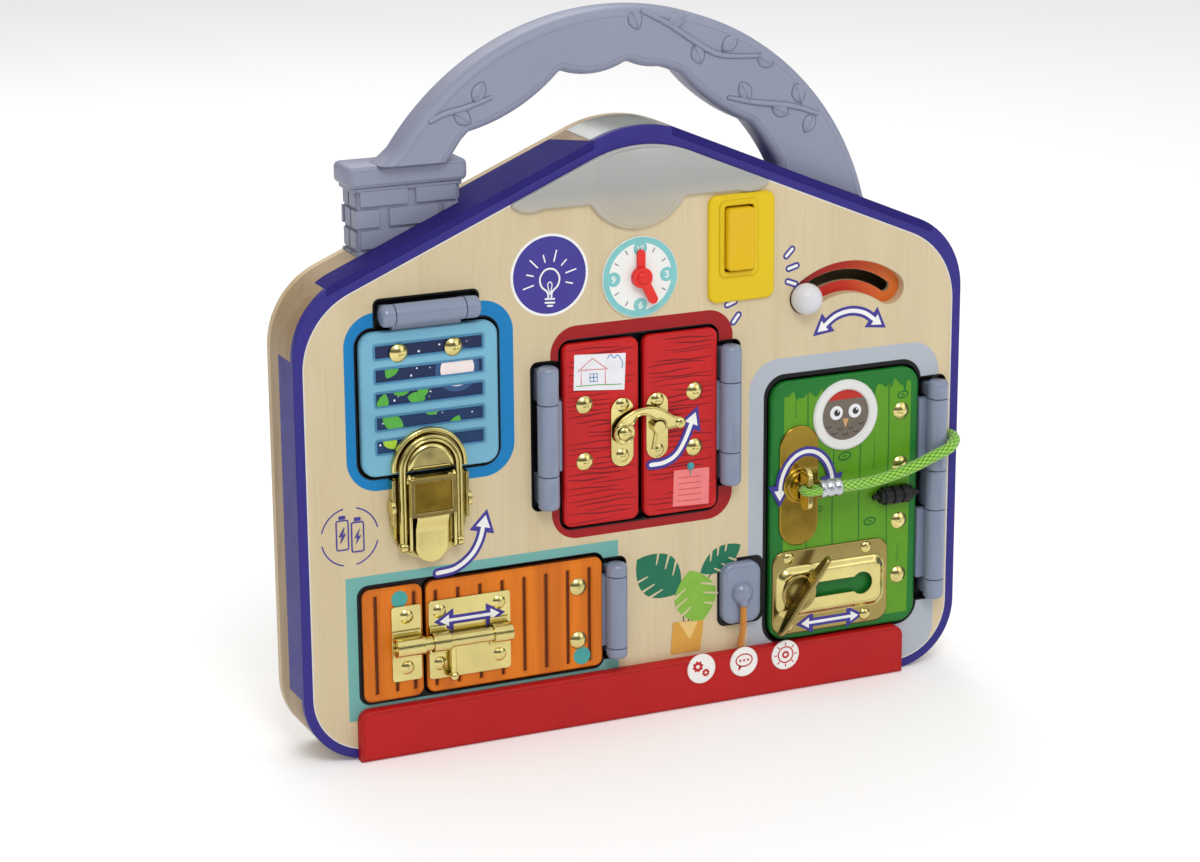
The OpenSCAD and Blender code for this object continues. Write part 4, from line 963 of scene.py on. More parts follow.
def barrel(start, end, r, soft, n=32):
    """Round bar between two points, its two ends rounded by soft: r - soft (1 - sin t)."""
    start, end = np.array(start, float), np.array(end, float)
    d = (end - start) / np.linalg.norm(end - start)
    side = np.cross(d, (0, 0, 1.0) if abs(d[2]) < 0.9 else (1.0, 0, 0))
    side /= np.linalg.norm(side)
    third = np.cross(d, side)
    a = np.linspace(0, 2 * np.pi, n, endpoint=False)[:, None]
    circle = np.cos(a) * side + np.sin(a) * third
    curve = [(1 - math.cos(k), 1 - math.sin(k)) for k in np.linspace(0, np.pi / 2, 7)]
    head = [(start + d * soft[0] * b, r - soft[0] * i) for b, i in curve]
    tail = [(end - d * soft[1] * b, r - soft[1] * i) for b, i in curve[::-1]]
    places = [(start, 1e-4), *head, *tail, (end, 1e-4)]
    return surface([p + q * circle for p, q in places], closed=True)


hinge_grey = plastic("hinge_grey", srgb(130, 141, 164), 0.16)
hinge_grey.node_tree.nodes["Principled BSDF"].inputs["Specular IOR Level"].default_value = 0.6
pin_steel = polished("pin_steel", srgb(190, 192, 196), 0.3, 0.2)
dress(pin_steel, "steel", "hinge_pins")
BARREL_Y = -3.6
BARREL_R = 4.6
BARREL_GAP = 0.3
fixed_parts = []


def hinge(name, node, body, upright, place, span, moving, side, reach):
    """Fixed barrels with feet on the inner board, and a leaf whose barrels turn between them.
    An upright hinge has its axis at x = place, a level one at z = place."""
    def bar(a, b, soft):
        """Barrel from a to b along the axis."""
        ends = [(place, BARREL_Y, k) if upright else (k, BARREL_Y, place) for k in (a, b)]
        return (*barrel(*ends, BARREL_R, soft), hinge_grey)

    def block(a, b, near, far, y0, y1, bevel):
        """Board from a to b along the axis, and from near to far across it."""
        lo, hi = sorted((place + near, place + far))
        shape = box(lo, a, hi, b, 0.8) if upright else box(a, lo, b, hi, 0.8)
        return (*slab(shape, y0, y1, bevel), hinge_grey)

    edges = [span[0]] + [e for m in moving for e in m] + [span[1]]
    for k in range(0, len(edges), 2):
        low, high = edges[k], edges[k + 1]
        first, last = k == 0, k + 2 == len(edges)
        fixed_parts.append(bar(low, high, (2.0 if first else 0.5, 2.0 if last else 0.5)))
        foot = (low + 1.6 * first, high - 1.6 * last)
        fixed_parts.append(block(*foot, -3.4, 3.4, BARREL_Y, 4.9, 0.3))
    parts = []
    for a, b in moving:
        a, b = a + BARREL_GAP, b - BARREL_GAP
        parts += [bar(a, b, (0.5, 0.5)), block(a, b, 0, side * 7.6, -1, 3.2, 0.4),
                  block(a, b, 0, side * reach, 2.0, 3.2, 0.3)]
    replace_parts(piece(name, parts, body, 40), node)


hinge("hinge_shutter", "shutter_leaf", "shutter", False, 189.4, (-117.8, -75), [(-112.3, -81.4)],
      -1, 20.5)
hinge("hinge_left", "red_leaf_left", "red_left", True, -44.8, (98.5, 160.2), [(113.2, 144.4)], 1, 21)
hinge("hinge_right", "red_leaf_right", "red_right", True, 40, (98.5, 160.2), [(113.2, 144.4)],
      -1, 19.6)
hinge("hinge_orange", "orange_leaf", "orange", True, -13.9, (28.2, 70.7), [(32.8, 65.2)], -1, 22)
hinge("hinge_green", "green_leaf", "green", True, 141.6, (32.4, 133), [(41.4, 74.2), (92, 125)],
      -1, 21)
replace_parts(piece("hinge_feet", fixed_parts, "board", 40), "hinge_brackets")

# Window shutter
# A light blue board with five louvres of night sky between its bars. It lifts on the
# hinge over it and is held shut by the draw latch.
shutter_blue = painted("shutter_blue", srgb(116, 176, 202), 0.4, 0.06, 0.5)
frame_blue = painted("frame_blue", srgb(74, 140, 184), 0.4, 0.2, 0.3)
night, night_tree, night_shader = nodes_for("night_print", srgb(8, 34, 78), 0.4, coat=0.15)
faded(night_tree, night_shader, "Z", 125, 180, [
    (0.0, srgb(14, 58, 104)), (0.5, srgb(9, 38, 84)), (1.0, srgb(12, 30, 72))])
rounded(night_tree, night_shader, 0.2, spots(night_tree, 1500), 0.05)
moon_ink = ink("moon_ink", srgb(240, 226, 222))
halo_ink = ink("halo_ink", srgb(52, 84, 130))
star_ink = ink("star_ink", srgb(226, 232, 240))
bush_ink = ink("bush_ink", srgb(86, 170, 66))
lime_ink = ink("lime_ink", srgb(166, 206, 58))

LOUVRES = (130.8, 140.8, 150.8, 160.8, 170.8)
SKY_FRONT = -1.36
slats = [box(-120.3, z, -72.3, z + 6.6, 1.1) for z in LOUVRES]
shutter_loop = box(-126.3, 122, -66.3, 182.5, 6)
shutter_parts = [(*slab(shutter_loop, -1.4, 2, 0.01, 1.0), shutter_blue),
                 (*slab(minus(shutter_loop, *slats), -2, -1.35, 0.5, 0), shutter_blue)]
for slat in slats:
    slat_rim = slat + [inset(slat[0], 0.75)[::-1]]
    shutter_parts.append((*slab(slat_rim, -1.75, -1.3, 0.12, 0), frame_blue))
shutter = piece("shutter_board", shutter_parts, "shutter")
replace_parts(shutter, "window_shutter")


def clip(shape, x0, z0, x1, z1):
    """The part of a convex outline inside a rectangle, cut one side after another."""
    p = list(map(tuple, shape[0]))
    for axis, limit, sign in ((0, x0, 1), (0, x1, -1), (1, z0, 1), (1, z1, -1)):
        kept = []
        for a, b in zip(p, p[1:] + p[:1]):
            ina, inb = sign * (a[axis] - limit) >= 0, sign * (b[axis] - limit) >= 0
            if ina:
                kept.append(a)
            if ina != inb:
                t = (limit - a[axis]) / (b[axis] - a[axis])
                kept.append((a[0] + t * (b[0] - a[0]), a[1] + t * (b[1] - a[1])))
        p = kept
        if len(p) < 3:
            return None
    return poly(*p)


rng = np.random.default_rng(7)
bushes = [(-112, 156, 9, 5, 20), (-106, 154, 8, 5, -10), (-115, 163, 9, 5.5, 55),
          (-98, 146, 8, 5.5, 35), (-108, 142, 10, 6.5, 155), (-112, 133, 8, 6, 120),
          (-88, 136, 9, 5, 60), (-101, 153, 7, 4.5, 60), (-118, 148, 9, 5, 75)]
night_art = []
for z in LOUVRES:
    cell = (-119.5, z + 0.8, -73.1, z + 5.8)
    night_art.append((1, night, box(*cell, 0.5)))
    sky_shapes = [(2, halo_ink, disc(-84, 163.5, 9.6)), (3, moon_ink, disc(-84, 163.5, 7.4))]
    for k, bush in enumerate(bushes):
        tone = bush_ink if (bush[0] + bush[1]) % 2 < 1 else lime_ink
        sky_shapes.append((k + 3, tone, leaf(*bush)))
    for _ in range(5):
        star_x = rng.uniform(cell[0] + 1, cell[2] - 1)
        star_z = rng.uniform(cell[1] + 0.8, cell[3] - 0.8)
        sky_shapes.append((2, star_ink, disc(star_x, star_z, rng.uniform(0.2, 0.5), 12)))
    for layer, tone, shape in sky_shapes:
        cut = clip(shape, *cell)
        if cut:
            night_art.append((layer * 0.7, tone, cut))
print_on("night_art", "shutter", SKY_FRONT, night_art)

brass = polished("brass_plate", srgb(224, 210, 138), 0.13, 0.3)
# Darker copies of the brass as painted dark reflections: one for the lever face and the key rose, one
# for the lever rim, the lock plate and the thumb piece.
brass_dark_reflection = polished("brass_dark_reflection", srgb(176, 146, 60), 0.16, 0.3)
brass_shaded = polished("brass_shaded", srgb(168, 150, 92), 0.2, 0.3)
dress(brass, "brass", "shutter_rivets", "red_rivets_left", "red_rivets_right", "orange_rivets",
      "green_rivets")

# Draw latch
# Pressed brass-plated steel. The lever turns between the cheeks of its base and draws a
# sprung bail down over the lip of a round catch plate on the shutter.
LATCH_X = -97.8
PLATE_Z = 124.2
PIN_Y = -4.2
LEVER_PIN_Z = 119.6
BAIL_PIN_Z = 91.2
dress(brass, "brass", "latch_base")


def upper_half(r, hole=0.0):
    """Half disc, or half ring, about the catch plate's middle, cut 1 mm under it."""
    sink = math.degrees(math.asin(1 / r))
    rows = [arc(LATCH_X, PLATE_Z, r, -sink, 180 + sink, 48)]
    if hole:
        sink = math.degrees(math.asin(1 / hole))
        rows.append(arc(LATCH_X, PLATE_Z, hole, 180 + sink, -sink, 48))
    return poly(*np.concatenate(rows))


def bail_loop(outer, inner):
    """Upright U between two radii, its legs reaching down to the pivots."""
    return poly((LATCH_X + outer, BAIL_PIN_Z), *arc(LATCH_X, PLATE_Z, outer, 0, 180, 40),
                (LATCH_X - outer, BAIL_PIN_Z), (LATCH_X - inner, BAIL_PIN_Z),
                *arc(LATCH_X, PLATE_Z, inner, 180, 0, 40), (LATCH_X + inner, BAIL_PIN_Z))


def sideways(part):
    """A slab made in y and z turned so that its thickness lies along x."""
    verts, faces = part
    return verts[:, [1, 0, 2]], [face[::-1] for face in faces]


def pin(x, z, half, r, soft):
    """Brass pin across the latch, half its length each way from x."""
    return (*barrel((x - half, PIN_Y, z), (x + half, PIN_Y, z), r, (soft, soft)), brass)


catch_plate = piece("catch_plate", [
    (*slab(upper_half(16.6), -2.8, -2, 0.3, 0), brass),
    (*slab(upper_half(16.6, 14.7), -4.4, -2.7, 0.75, 0, steps=6), brass),
    (*slab(upper_half(10.6), -6, -2.7, 2.3, 0, steps=8), brass)], "shutter", 40)
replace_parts(catch_plate, "latch_strike")

TONGUE_HALF = 7.0
TONGUE_FOOT = 90.4
round_end = TONGUE_FOOT - 6.98 + 7 * (1 - np.cos(np.linspace(0.06, np.pi / 2, 14)))
tongue_z = np.concatenate([round_end, np.linspace(91.4, 105.8, 14)])
tongue_front = np.interp(tongue_z, [80, 98, 100, 102.4, 106], [-4.4, -5.0, -5.7, -6.9, -7.0])
foot_half = np.sqrt(np.maximum(TONGUE_HALF ** 2 - (TONGUE_FOOT - tongue_z) ** 2, 0.02))
tongue_half = np.where(tongue_z < TONGUE_FOOT, foot_half, TONGUE_HALF)
u = np.linspace(-1, 1, 12)
crown = 0.25 * (1 - u ** 6)
tongue_rows = []
for z, y, half in zip(tongue_z, tongue_front, tongue_half):
    level = np.full(12, z)
    front = np.stack([LATCH_X + half * u, y + 0.25 - crown, level], 1)
    back = np.stack([LATCH_X + half * u[::-1], np.full(12, y + 0.62), level], 1)
    tongue_rows.append(np.concatenate([front, back]))
cheek = poly(*arc(PIN_Y, LEVER_PIN_Z, 2.8, 0, 180, 14), *arc(PIN_Y, BAIL_PIN_Z, 2.6, 180, 360, 14))
lever_rim = minus(box(-108, 104.1, -87.6, 120.7, 1.2), box(-105.9, 106, -89.7, 118.8, 0.8))
lever_parts = [(*slab(box(-108.2, 103.9, -87.4, 120.9, 1.4), -7.2, -6.4, 0.35), brass_dark_reflection),
               (*slab(lever_rim, -7.75, -7.1, 0.4, 0), brass_shaded),
               (*surface(tongue_rows, closed=True), brass)]
for x in (LATCH_X - 9.8, LATCH_X + 9.8):
    lever_parts.append((*sideways(slab(cheek, x - 0.6, x + 0.6, 0.25)), brass))
    lever_parts.append(pin(x, LEVER_PIN_Z, 1.1, 1.9, 0.5))
lever = piece("draw_lever", lever_parts, "lever", 40)
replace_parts(lever, "latch_lever")

bail_parts = [(*slab(bail_loop(13.8, 11.0), -5.0, -3.4, 0.5), brass),
              (*slab(bail_loop(13.75, 12.6), -5.6, -4.8, 0.5, 0, steps=5), brass),
              (*slab(bail_loop(12.2, 11.05), -5.6, -4.8, 0.5, 0, steps=5), brass)]
for side in (-1, 1):
    bail_parts.append(pin(LATCH_X + side * 12.4, BAIL_PIN_Z, 1.4, 2.2, 0.5))
    bail_parts.append(pin(LATCH_X + side * 10.4, BAIL_PIN_Z, 1.2, 1.2, 0.1))
bail = piece("sprung_bail", bail_parts, "bail", 40)
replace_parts(bail, "latch_bail")

# Hook, bolt and key
# A cast hook with a ball tip drops over a stud. The barrel bolt slides in folded straps,
# and the key turns in a round rose.


def turned(x, z, profile, n=56):
    """Turned part on an axis along y: circles of radius r at depth y, from its base to its top."""
    return surface([at_depth(disc(x, z, r, n)[0], y) for r, y in profile], closed=True)


KEY_X = 73.8
dress(brass, "brass", "hook_plate", "stud_plate", "bolt_keeper", "bolt_plate", "bolt_rod", "key")

seat = [(5.4 + 3.15 * math.cos(a), 128.7 + 3.15 * math.sin(a))
        for a in np.radians([-12, 20, 50, 80, 108])]
hook_line = smooth([
    (-14.8, 129.6), (-12.2, 133.6), (-7.1, 136.6), (-2.1, 137.9), (2.9, 137.8), (7.8, 136),
    (12.6, 132.8), (16.4, 131.6), (17.8, 129.4), (16.4, 127.2), (13.4, 127.4), (10.4, 127.2), *seat,
    (3, 132.4), (0.8, 133.9), (-2.1, 134.7), (-4.6, 133.8), (-6.4, 131.2), (-10.5, 130.6)],
    5, closed=True)
hook_outline = poly(*hook_line)
hook_rim = hook_outline + [inset(hook_outline[0], 0.75)[::-1]]
hook_eye = turned(-10.5, 127.7, [(1.7, -4.3), (4.75, -4.3), (4.8, -4.5), (4.8, -5.1), (4.55, -5.4),
                                 (4.0, -5.45), (3.7, -5.2), (1.7, -5.2)])
hook_tip = turned(15.6, 129.3, [(1e-3, -3.4), (1.6, -3.4), (2.3, -3.7), (2.6, -4.4), (2.5, -5.1),
                                (2.1, -5.7), (1.3, -6.1), (1e-3, -6.25)])
hook_parts = [(*slab(hook_outline, -5.15, -4.3, 0.3, 0.1), brass),
              (*slab(hook_rim, -5.5, -5.05, 0.32, 0), brass), (*hook_eye, brass), (*hook_tip, brass)]
hook = piece("cast_hook", hook_parts, "hook", 45)
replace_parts(hook, "hook_arm")


def stadium(x, z0, z1, r):
    """Upright plate with half-round ends."""
    return poly(*arc(x, z1 - r, r, 0, 180, 24), *arc(x, z0 + r, r, 180, 360, 24))


rose_rings = turned(KEY_X, KEY_Z, [(8, -2.9), (8, -3.7), (7.7, -4.1), (7.2, -4.2), (6.8, -4.0),
                                   (6.5, -4.1), (6.4, -4.6), (6.1, -4.95), (5.6, -5.0),
                                   (4.6, -4.7), (2.45, -4.7)])
rose = piece("key_rose", [
    (*slab(stadium(KEY_X, 66.1, 120.2, 9.4), -3, -2, 0.55, 0, steps=6), brass_dark_reflection),
    (*rose_rings, brass_dark_reflection)], "green", 50)
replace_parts(rose, "lock_escutcheon")

# Slide lock
# A pressed plate with a raised box. The thumb piece slides along its slot and comes out
# at the round end.


def dome(x, z, y, r, h):
    """Round head on a face at depth y: radius r cos t, height h sin t, closed at the top."""
    t = np.linspace(0, np.pi / 2, 10)
    return turned(x, z, [(max(r * math.cos(k), 1e-4), y - h * math.sin(k)) for k in t], 48)


SLOT_Z = 45
SLOT_START, SLOT_END = 73, 104.5
PLATE_FRONT = -3.0
slot_loop = poly(*arc(SLOT_START, SLOT_Z, 3.4, 90, 270, 16),
                 *arc(SLOT_END, SLOT_Z, 5.1, 221.8, 498.2, 40))
slope = []
for k in np.linspace(0, 1, 10):
    d = 3.8 * k
    loop = box(62.6 + d, 32.8 + d, 116.8 - d, 57.2 - d, 6 - d * 0.6)[0]
    slope.append(at_depth(loop, -2.9 - 2.1 * (3 * k ** 2 - 2 * k ** 3)))
plate_loop = minus(box(61.2, 25.6, 118.4, 63.9, 6), box(67.6, 39, 112, 51, 5))
box_top = minus(box(66.4, 36.6, 113, 53.4, 3.72), slot_loop)
lock_parts = [(*slab(plate_loop, PLATE_FRONT, -2, 0.5, 0), brass_shaded),
              (*surface(slope, closed=True), brass), (*slab(box_top, -5, -4.2, 0.02, 0.02), brass)]
for x in (68.8, 107.2):
    for z in (29.4, 60.6):
        lock_parts.append((*dome(x, z, -2.95, 2.7, 1.4), brass))
lock_box = piece("lock_box", lock_parts, "green", 40)
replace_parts(lock_box, "slide_plate")

wing = smooth([(-9, -6), (0, -5.9), (9, -6), (16, -8), (20, -9.4), (20, -11), (18, -12.8), (9, -13),
               (0, -12.6), (-9, -13), (-18, -12.8), (-20, -11), (-20, -9.4), (-16, -8)],
              5, closed=True)
blade, blade_faces = slab(poly(*wing), -1.1, 1.1, 0.75, steps=5)
blade = at_depth(swung(blade[:, 0], blade[:, 1], SLOT_START, SLOT_Z, 53.8), blade[:, 2])
thumb_hub = turned(SLOT_START, SLOT_Z, [
    (3, -2.1), (3, -5.2), (8.1, -5.2), (8.3, -5.45), (8.25, -5.9), (7.8, -6.25), (6.9, -6.35),
    (6.4, -6.1), (4, -6.5), (1e-3, -6.8)])
thumb = piece("thumb_turn", [(blade, [face[::-1] for face in blade_faces], brass_shaded),
                             (*thumb_hub, brass_shaded)], "thumb", 45)
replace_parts(thumb, "thumb_piece")

# Double doors
# Two red doors printed with a wavy wood grain. One carries a pinned drawing and the
# hook, the other a note and the stud.
DOOR_FRONT = -2.0
DOOR_FOOT, DOOR_TOP = 88.6, 168
door_red = painted("door_red", srgb(196, 22, 24), 0.42, 0.05, 0.6)
grain_red = ink("grain_red", srgb(126, 14, 22))


def grain_strokes(x0, z0, x1, z1, seed, count):
    """Uneven wavy strokes across a door, thick in the middle and thin at their ends:
    z + 0.4 sin(x / 6.2 + phase) + 0.14 sin(x / 2.3 + 2 phase)."""
    pick = np.random.default_rng(seed)
    shapes = []
    for z in np.linspace(z0 + 1.6, z1 - 1.6, count):
        length = pick.uniform(0.6, 1.0) * (x1 - x0 - 1.6)
        start = x0 + 0.8 if pick.random() < 0.5 else x1 - 0.8 - length
        x = np.linspace(start, start + length, 16)
        phase = pick.uniform(0, 6)
        wave = 0.4 * np.sin(x / 6.2 + phase) + 0.14 * np.sin(x / 2.3 + 2 * phase)
        line = np.clip(z + pick.uniform(-0.5, 0.5) + wave, z0 + 0.8, z1 - 0.8)
        half = pick.uniform(0.2, 0.4) * np.sin(np.linspace(0.12, np.pi - 0.05, 16)) ** 0.6
        shapes.append(poly(*zip(x, line - half), *zip(x[::-1], (line + half)[::-1])))
    return shapes


for name, node, body, left in (("door_left", "red_door_left", "red_left", -36.9),
                               ("door_right", "red_door_right", "red_right", 0)):
    door_loop = box(left, DOOR_FOOT, left + 34.4, DOOR_TOP, 3.5)
    door = piece(name, [(*slab(door_loop, DOOR_FRONT, 2, 0.9), door_red)], body)
    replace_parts(door, node)
paper_white = ink("paper_white", srgb(232, 232, 236), 0.6)
crayon_red = ink("crayon_red", srgb(206, 92, 84), 0.8)
crayon_blue = ink("crayon_blue", srgb(92, 132, 190), 0.8)
crayon_green = ink("crayon_green", srgb(110, 164, 92), 0.8)
note_pink = ink("note_pink", srgb(236, 128, 128), 0.6)
drawing = [(1, grain_red, s) for s in grain_strokes(-36.2, 89.4, -3.2, 167.2, 11, 34)]
drawing += [(3, paper_white, poly((-32, 163.5), (-8.5, 161.8), (-9.2, 146), (-32.5, 148.3)))]
smoke = smooth([(-17, 160.4), (-15.4, 161.8), (-13.8, 160.2), (-12.4, 161.4), (-11, 159.8),
                (-10, 158), (-10.4, 155.6)], 6)
for crayon, line in [
        (crayon_red, [(-29, 150.3), (-29, 156.6), (-18, 156), (-18, 149.4)]),
        (crayon_red, [(-30.4, 156.2), (-23.8, 161.2), (-17, 155.8)]),
        (crayon_blue, [(-25, 151.4), (-25, 154.6), (-21.6, 154.4), (-21.6, 151), (-25, 151.4)]),
        (crayon_blue, [(-25, 153), (-21.6, 152.8)]),
        (crayon_blue, [(-23.3, 154.4), (-23.3, 151.2)]),
        (crayon_green, [(-31.4, 149.9), (-22, 149.6), (-16, 149), (-10.4, 148.6)]),
        (crayon_blue, smoke)]:
    drawing.append((4, crayon, stroke(line, 0.38)))
print_on("door_drawing", "red_left", DOOR_FRONT, drawing)

note = [(1, grain_red, s) for s in grain_strokes(0.8, 89.4, 33.6, 167.2, 23, 34)]
note.append((3, note_pink, poly((13.3, 91.6), (30.3, 90.8), (30.6, 107), (13.9, 107.5))))
note += [(4, crayon_red, stroke([(16, z), (28 - (z * 7) % 3, z - 0.3)], 0.4))
         for z in (104, 101.4, 98.8, 96.2, 93.6)]
print_on("door_note", "red_right", DOOR_FRONT, note)
pin_teal = plastic("pin_teal", srgb(70, 160, 164), 0.3, 0.1)
pin_point = barrel((21.7, -2.2, 106.9), (21.7, -2.6, 104.6), 0.35, (0.2, 0.2), 12)
piece("push_pin", [(*dome(21.7, 108.6, -2.1, 1.7, 1.3), pin_teal), (*pin_point, pin_steel)],
      "red_right", 50)

# Orange door
# Tongued boards with dark grooves, shut by the barrel bolt that slides into a keeper
# on the fixed block beside it.
plank_orange = timber("plank_orange", srgb(224, 120, 4), srgb(188, 92, 4), (1, 1, 0.05), rough=0.42,
                      coat=0.06, edge=0.5, pore_tone=0.1)
groove_brown = ink("groove_brown", srgb(96, 44, 14), 0.7)
teal_ink = ink("teal_ink", srgb(70, 160, 156))


def planked(name, node, body, loop, back, soft, grooves, top):
    """Board of planks: a dark body under a face cut by grooves at x, 1.4 mm wide, up to top."""
    cuts = [box(x - 0.7, 27.8, x + 0.7, top, 0.6) for x in grooves]
    board = piece(name, [(*slab(loop, -1.2, back, 0.01, soft), groove_brown),
                         (*slab(minus(loop, *cuts), DOOR_FRONT, -1.15, 0.55, 0), plank_orange)],
                  body)
    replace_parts(board, node)


planked("plank_door", "orange_door", "orange", box(-100.1, 25.2, -19.9, 73.9, 3.5), 2, 0.9,
        [-95.8 + 10 * k for k in range(8)], 69.8)
planked("plank_block", "orange_block", "board", box(-128.1, 24.8, -101.8, 73.9, 3.5), 0, 0.01,
        (-122.4, -113.4, -105.4), 70.8)
print_on("block_dot", "board", DOOR_FRONT, [(1, teal_ink, disc(-111.9, 68.4, 3.6))])
print_on("door_dot", "orange", DOOR_FRONT, [(1, teal_ink, disc(-29.6, 30.8, 3.9))])

# Green door
# Plank door with paint drips at its top and a dark border. It carries the peephole, the
# lock with its key, and the slide lock.
door_green = painted("door_green", srgb(24, 116, 40), 0.4, 0.06, 0.6)
plank_green = ink("plank_green", srgb(92, 152, 24), 0.36)
line_green = ink("line_green", srgb(34, 112, 36))
green_loop = box(60.4, 22.8, 132.9, 140.2, 8)
door_main = piece("garden_door", [(*slab(green_loop, DOOR_FRONT, 2, 1.0), door_green)], "green")
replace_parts(door_main, "green_door")
drip_x = np.linspace(66.5, 129, 120)
drip_z = 133.2 + 1.1 * np.sin(drip_x * 0.9) + 1.6 * np.clip(np.sin(drip_x * 0.37 + 1), 0, 1)
for x, depth, w in ((72.5, 3.2, 0.8), (86, 5.4, 0.7), (99, 2.6, 0.9), (110.5, 6.2, 0.7),
                    (119.4, 3.4, 0.8), (126, 5, 0.7)):
    drip_z -= depth * np.exp(-((drip_x - x) / w) ** 4)
planks = [(1, plank_green, poly((129, 27.4), *zip(drip_x[::-1], drip_z[::-1]), (66.5, 27.4)))]
for x in (78, 90.8, 104, 118):
    top = np.interp(x, drip_x, drip_z) - 0.4
    wave = smooth([(x, 28), (x + 0.3, 50), (x - 0.2, 80), (x + 0.25, 105), (x, top)], 8)
    planks.append((2, line_green, stroke(wave, 0.55)))
for x, z, a in ((96.5, 103.5, 3.4), (109.5, 72, 3.2), (125, 128, 2.9), (83.6, 81, 2.4)):
    planks += [(2, line_green, oval(x, z, a, a * 0.62, 8)),
               (3, plank_green, oval(x, z, a * 0.72, a * 0.36, 8)),
               (4, line_green, oval(x, z, a * 0.3, a * 0.14, 8))]
for x, z0, z1 in ((70.5, 30, 44), (84, 118, 130), (98, 36, 52), (111, 96, 112), (123.6, 52, 60),
                  (126.8, 84, 92), (72, 124, 131)):
    planks.append((2, line_green, stroke([(x, z0), (x + 0.3, (z0 + z1) / 2), (x, z1)], 0.4, 0.3)))
planks.append((5, door_green, box(66.5, 38, 113, 52, 4)))
print_on("plank_print", "green", DOOR_FRONT, planks)

# Peephole
# A moulded white ring over a round hole in the green door. A bird with a red cap, printed
# on a disc behind the ring, looks out through it.
PEEP_X, PEEP_Z = 96.4, 122.3
peep_white = plastic("peep_white", srgb(226, 226, 224), 0.3, 0.4)
peep_loop = ring(PEEP_X, PEEP_Z, 15.8, 11.3, 72)
peep = piece("peep_ring", [(*slab(peep_loop, -3, -2, 0.65, 0), peep_white)], "green",
             50)
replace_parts(peep, "peephole_ring")
feather = ink("feather_brown", srgb(112, 102, 92), 0.25)
feather_dark = ink("feather_dark", srgb(62, 54, 50), 0.25)
beak_ink = ink("beak_ochre", srgb(206, 160, 110), 0.3)
red_cap = ink("cap_red", srgb(186, 42, 34), 0.3)
bird = [(6, feather, disc(PEEP_X, PEEP_Z, 11.5)),
        (7, red_cap, poly(*arc(PEEP_X, PEEP_Z, 11.4, 38, 142, 24))),
        (7, beak_ink, poly((95, 120.6), (98, 120.6), (96.5, 116.6)))]
bird += [(7, feather_dark, stroke([(x - 1.2, z + 0.9), (x, z), (x + 1.2, z + 0.9)], 0.45))
         for x, z in ((91, 113.8), (96.4, 113), (101.6, 113.8), (88.4, 117), (104.2, 117),
                      (93.8, 115.6), (99, 115.6))]
for x in (91.9, 101):
    bird += [(8, paper_white, disc(x, 123.6, 3.1)), (9, feather_dark, disc(x + 0.3, 123.6, 1.5)),
             (10, paper_white, disc(x + 0.9, 124.3, 0.45, 16))]
print_on("owl_print", "green", DOOR_FRONT, bird)

# Catches of the green door
# A moulded black clip with three ribs keeps the key's cord on the hinge side. The slide
# lock's steel washer turns under the brass thumb piece.
CLIP_Y, CLIP_Z = -4.2, 83.4
clip_black = plastic("clip_black", srgb(26, 26, 30), 0.42, 0.3)
clip_parts = []
for start, end, r, soft in ((109.6, 132.2, 1.3, 0.4), (112.8, 129, 3.2, 0.6), (114.6, 118.2, 4.15, 0.7),
                            (119.1, 122.7, 4.15, 0.7), (123.6, 127.2, 4.15, 0.7)):
    rib = barrel((start, CLIP_Y, CLIP_Z), (end, CLIP_Y, CLIP_Z), r, (soft, soft))
    clip_parts.append((*rib, clip_black))
cord_clip = piece("cord_clip", clip_parts, "green", 45)
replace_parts(cord_clip, "key_clip")
dress(pin_steel, "steel", "slide_washer")

# Strike box
# A moulded box in the face takes the end of the slide lock. Its round boss holds the
# woven tether.
collar = barrel((TETHER_X, -5.6, 46.5), (TETHER_X, -5.6, 43.2), 1.95, (0.2, 0.5))
box_parts = [(*slab(box(36.8, 34.6, 55.2, 62, 5), -4, 0, 1.6, 0, steps=6), hinge_grey),
             (*dome(TETHER_X, 48.6, -3.95, 5, 4), hinge_grey), (*collar, hinge_grey)]
catch_box = piece("catch_box", box_parts, "board", 40)
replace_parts(catch_box, "strike_box")

# Printed signs
# White arrows with an indigo outline show which way each catch moves, with short rays
# by the switch, a round badge for the lamp and two battery cells.


def arrow(points, width, head, grow, both):
    """Outlines of a curved arrow, each grow wider all round: its line, and a triangular head
    on its far end or on both."""
    p = np.array(points, float)
    g = grow * 1.6
    ahead_of_tip, behind_tip, half = head * 0.75 + 1.3 * g, head * 0.25 + g, head * 0.62 + 1.2 * g
    shapes = [stroke(p, width + 2 * grow)]
    for tip, back in [(p[-1], p[-2])] + ([(p[0], p[1])] if both else []):
        d = (tip - back) / np.linalg.norm(tip - back)
        side = np.array([d[1], -d[0]]) * half
        base = tip - d * behind_tip
        shapes.append(poly(tip + d * ahead_of_tip, base + side, base - side))
    return shapes


def sign(points, width=2.0, head=5.6, both=False, base=0):
    """Curved arrow in two layers of ink from a base layer up: its outline, 1.3 mm wider all
    round than the white middle."""
    line = smooth(points, 6) if len(points) > 2 else np.array(points, float)
    rows = []
    for layer, tone, grow in ((base + 1, purple_ink, 1.2), (base + 2, white_ink, -0.1)):
        shapes = arrow(line, width, head, grow, both)
        rows += [(layer + 0.3 * k, tone, shape) for k, shape in enumerate(shapes)]
    return rows


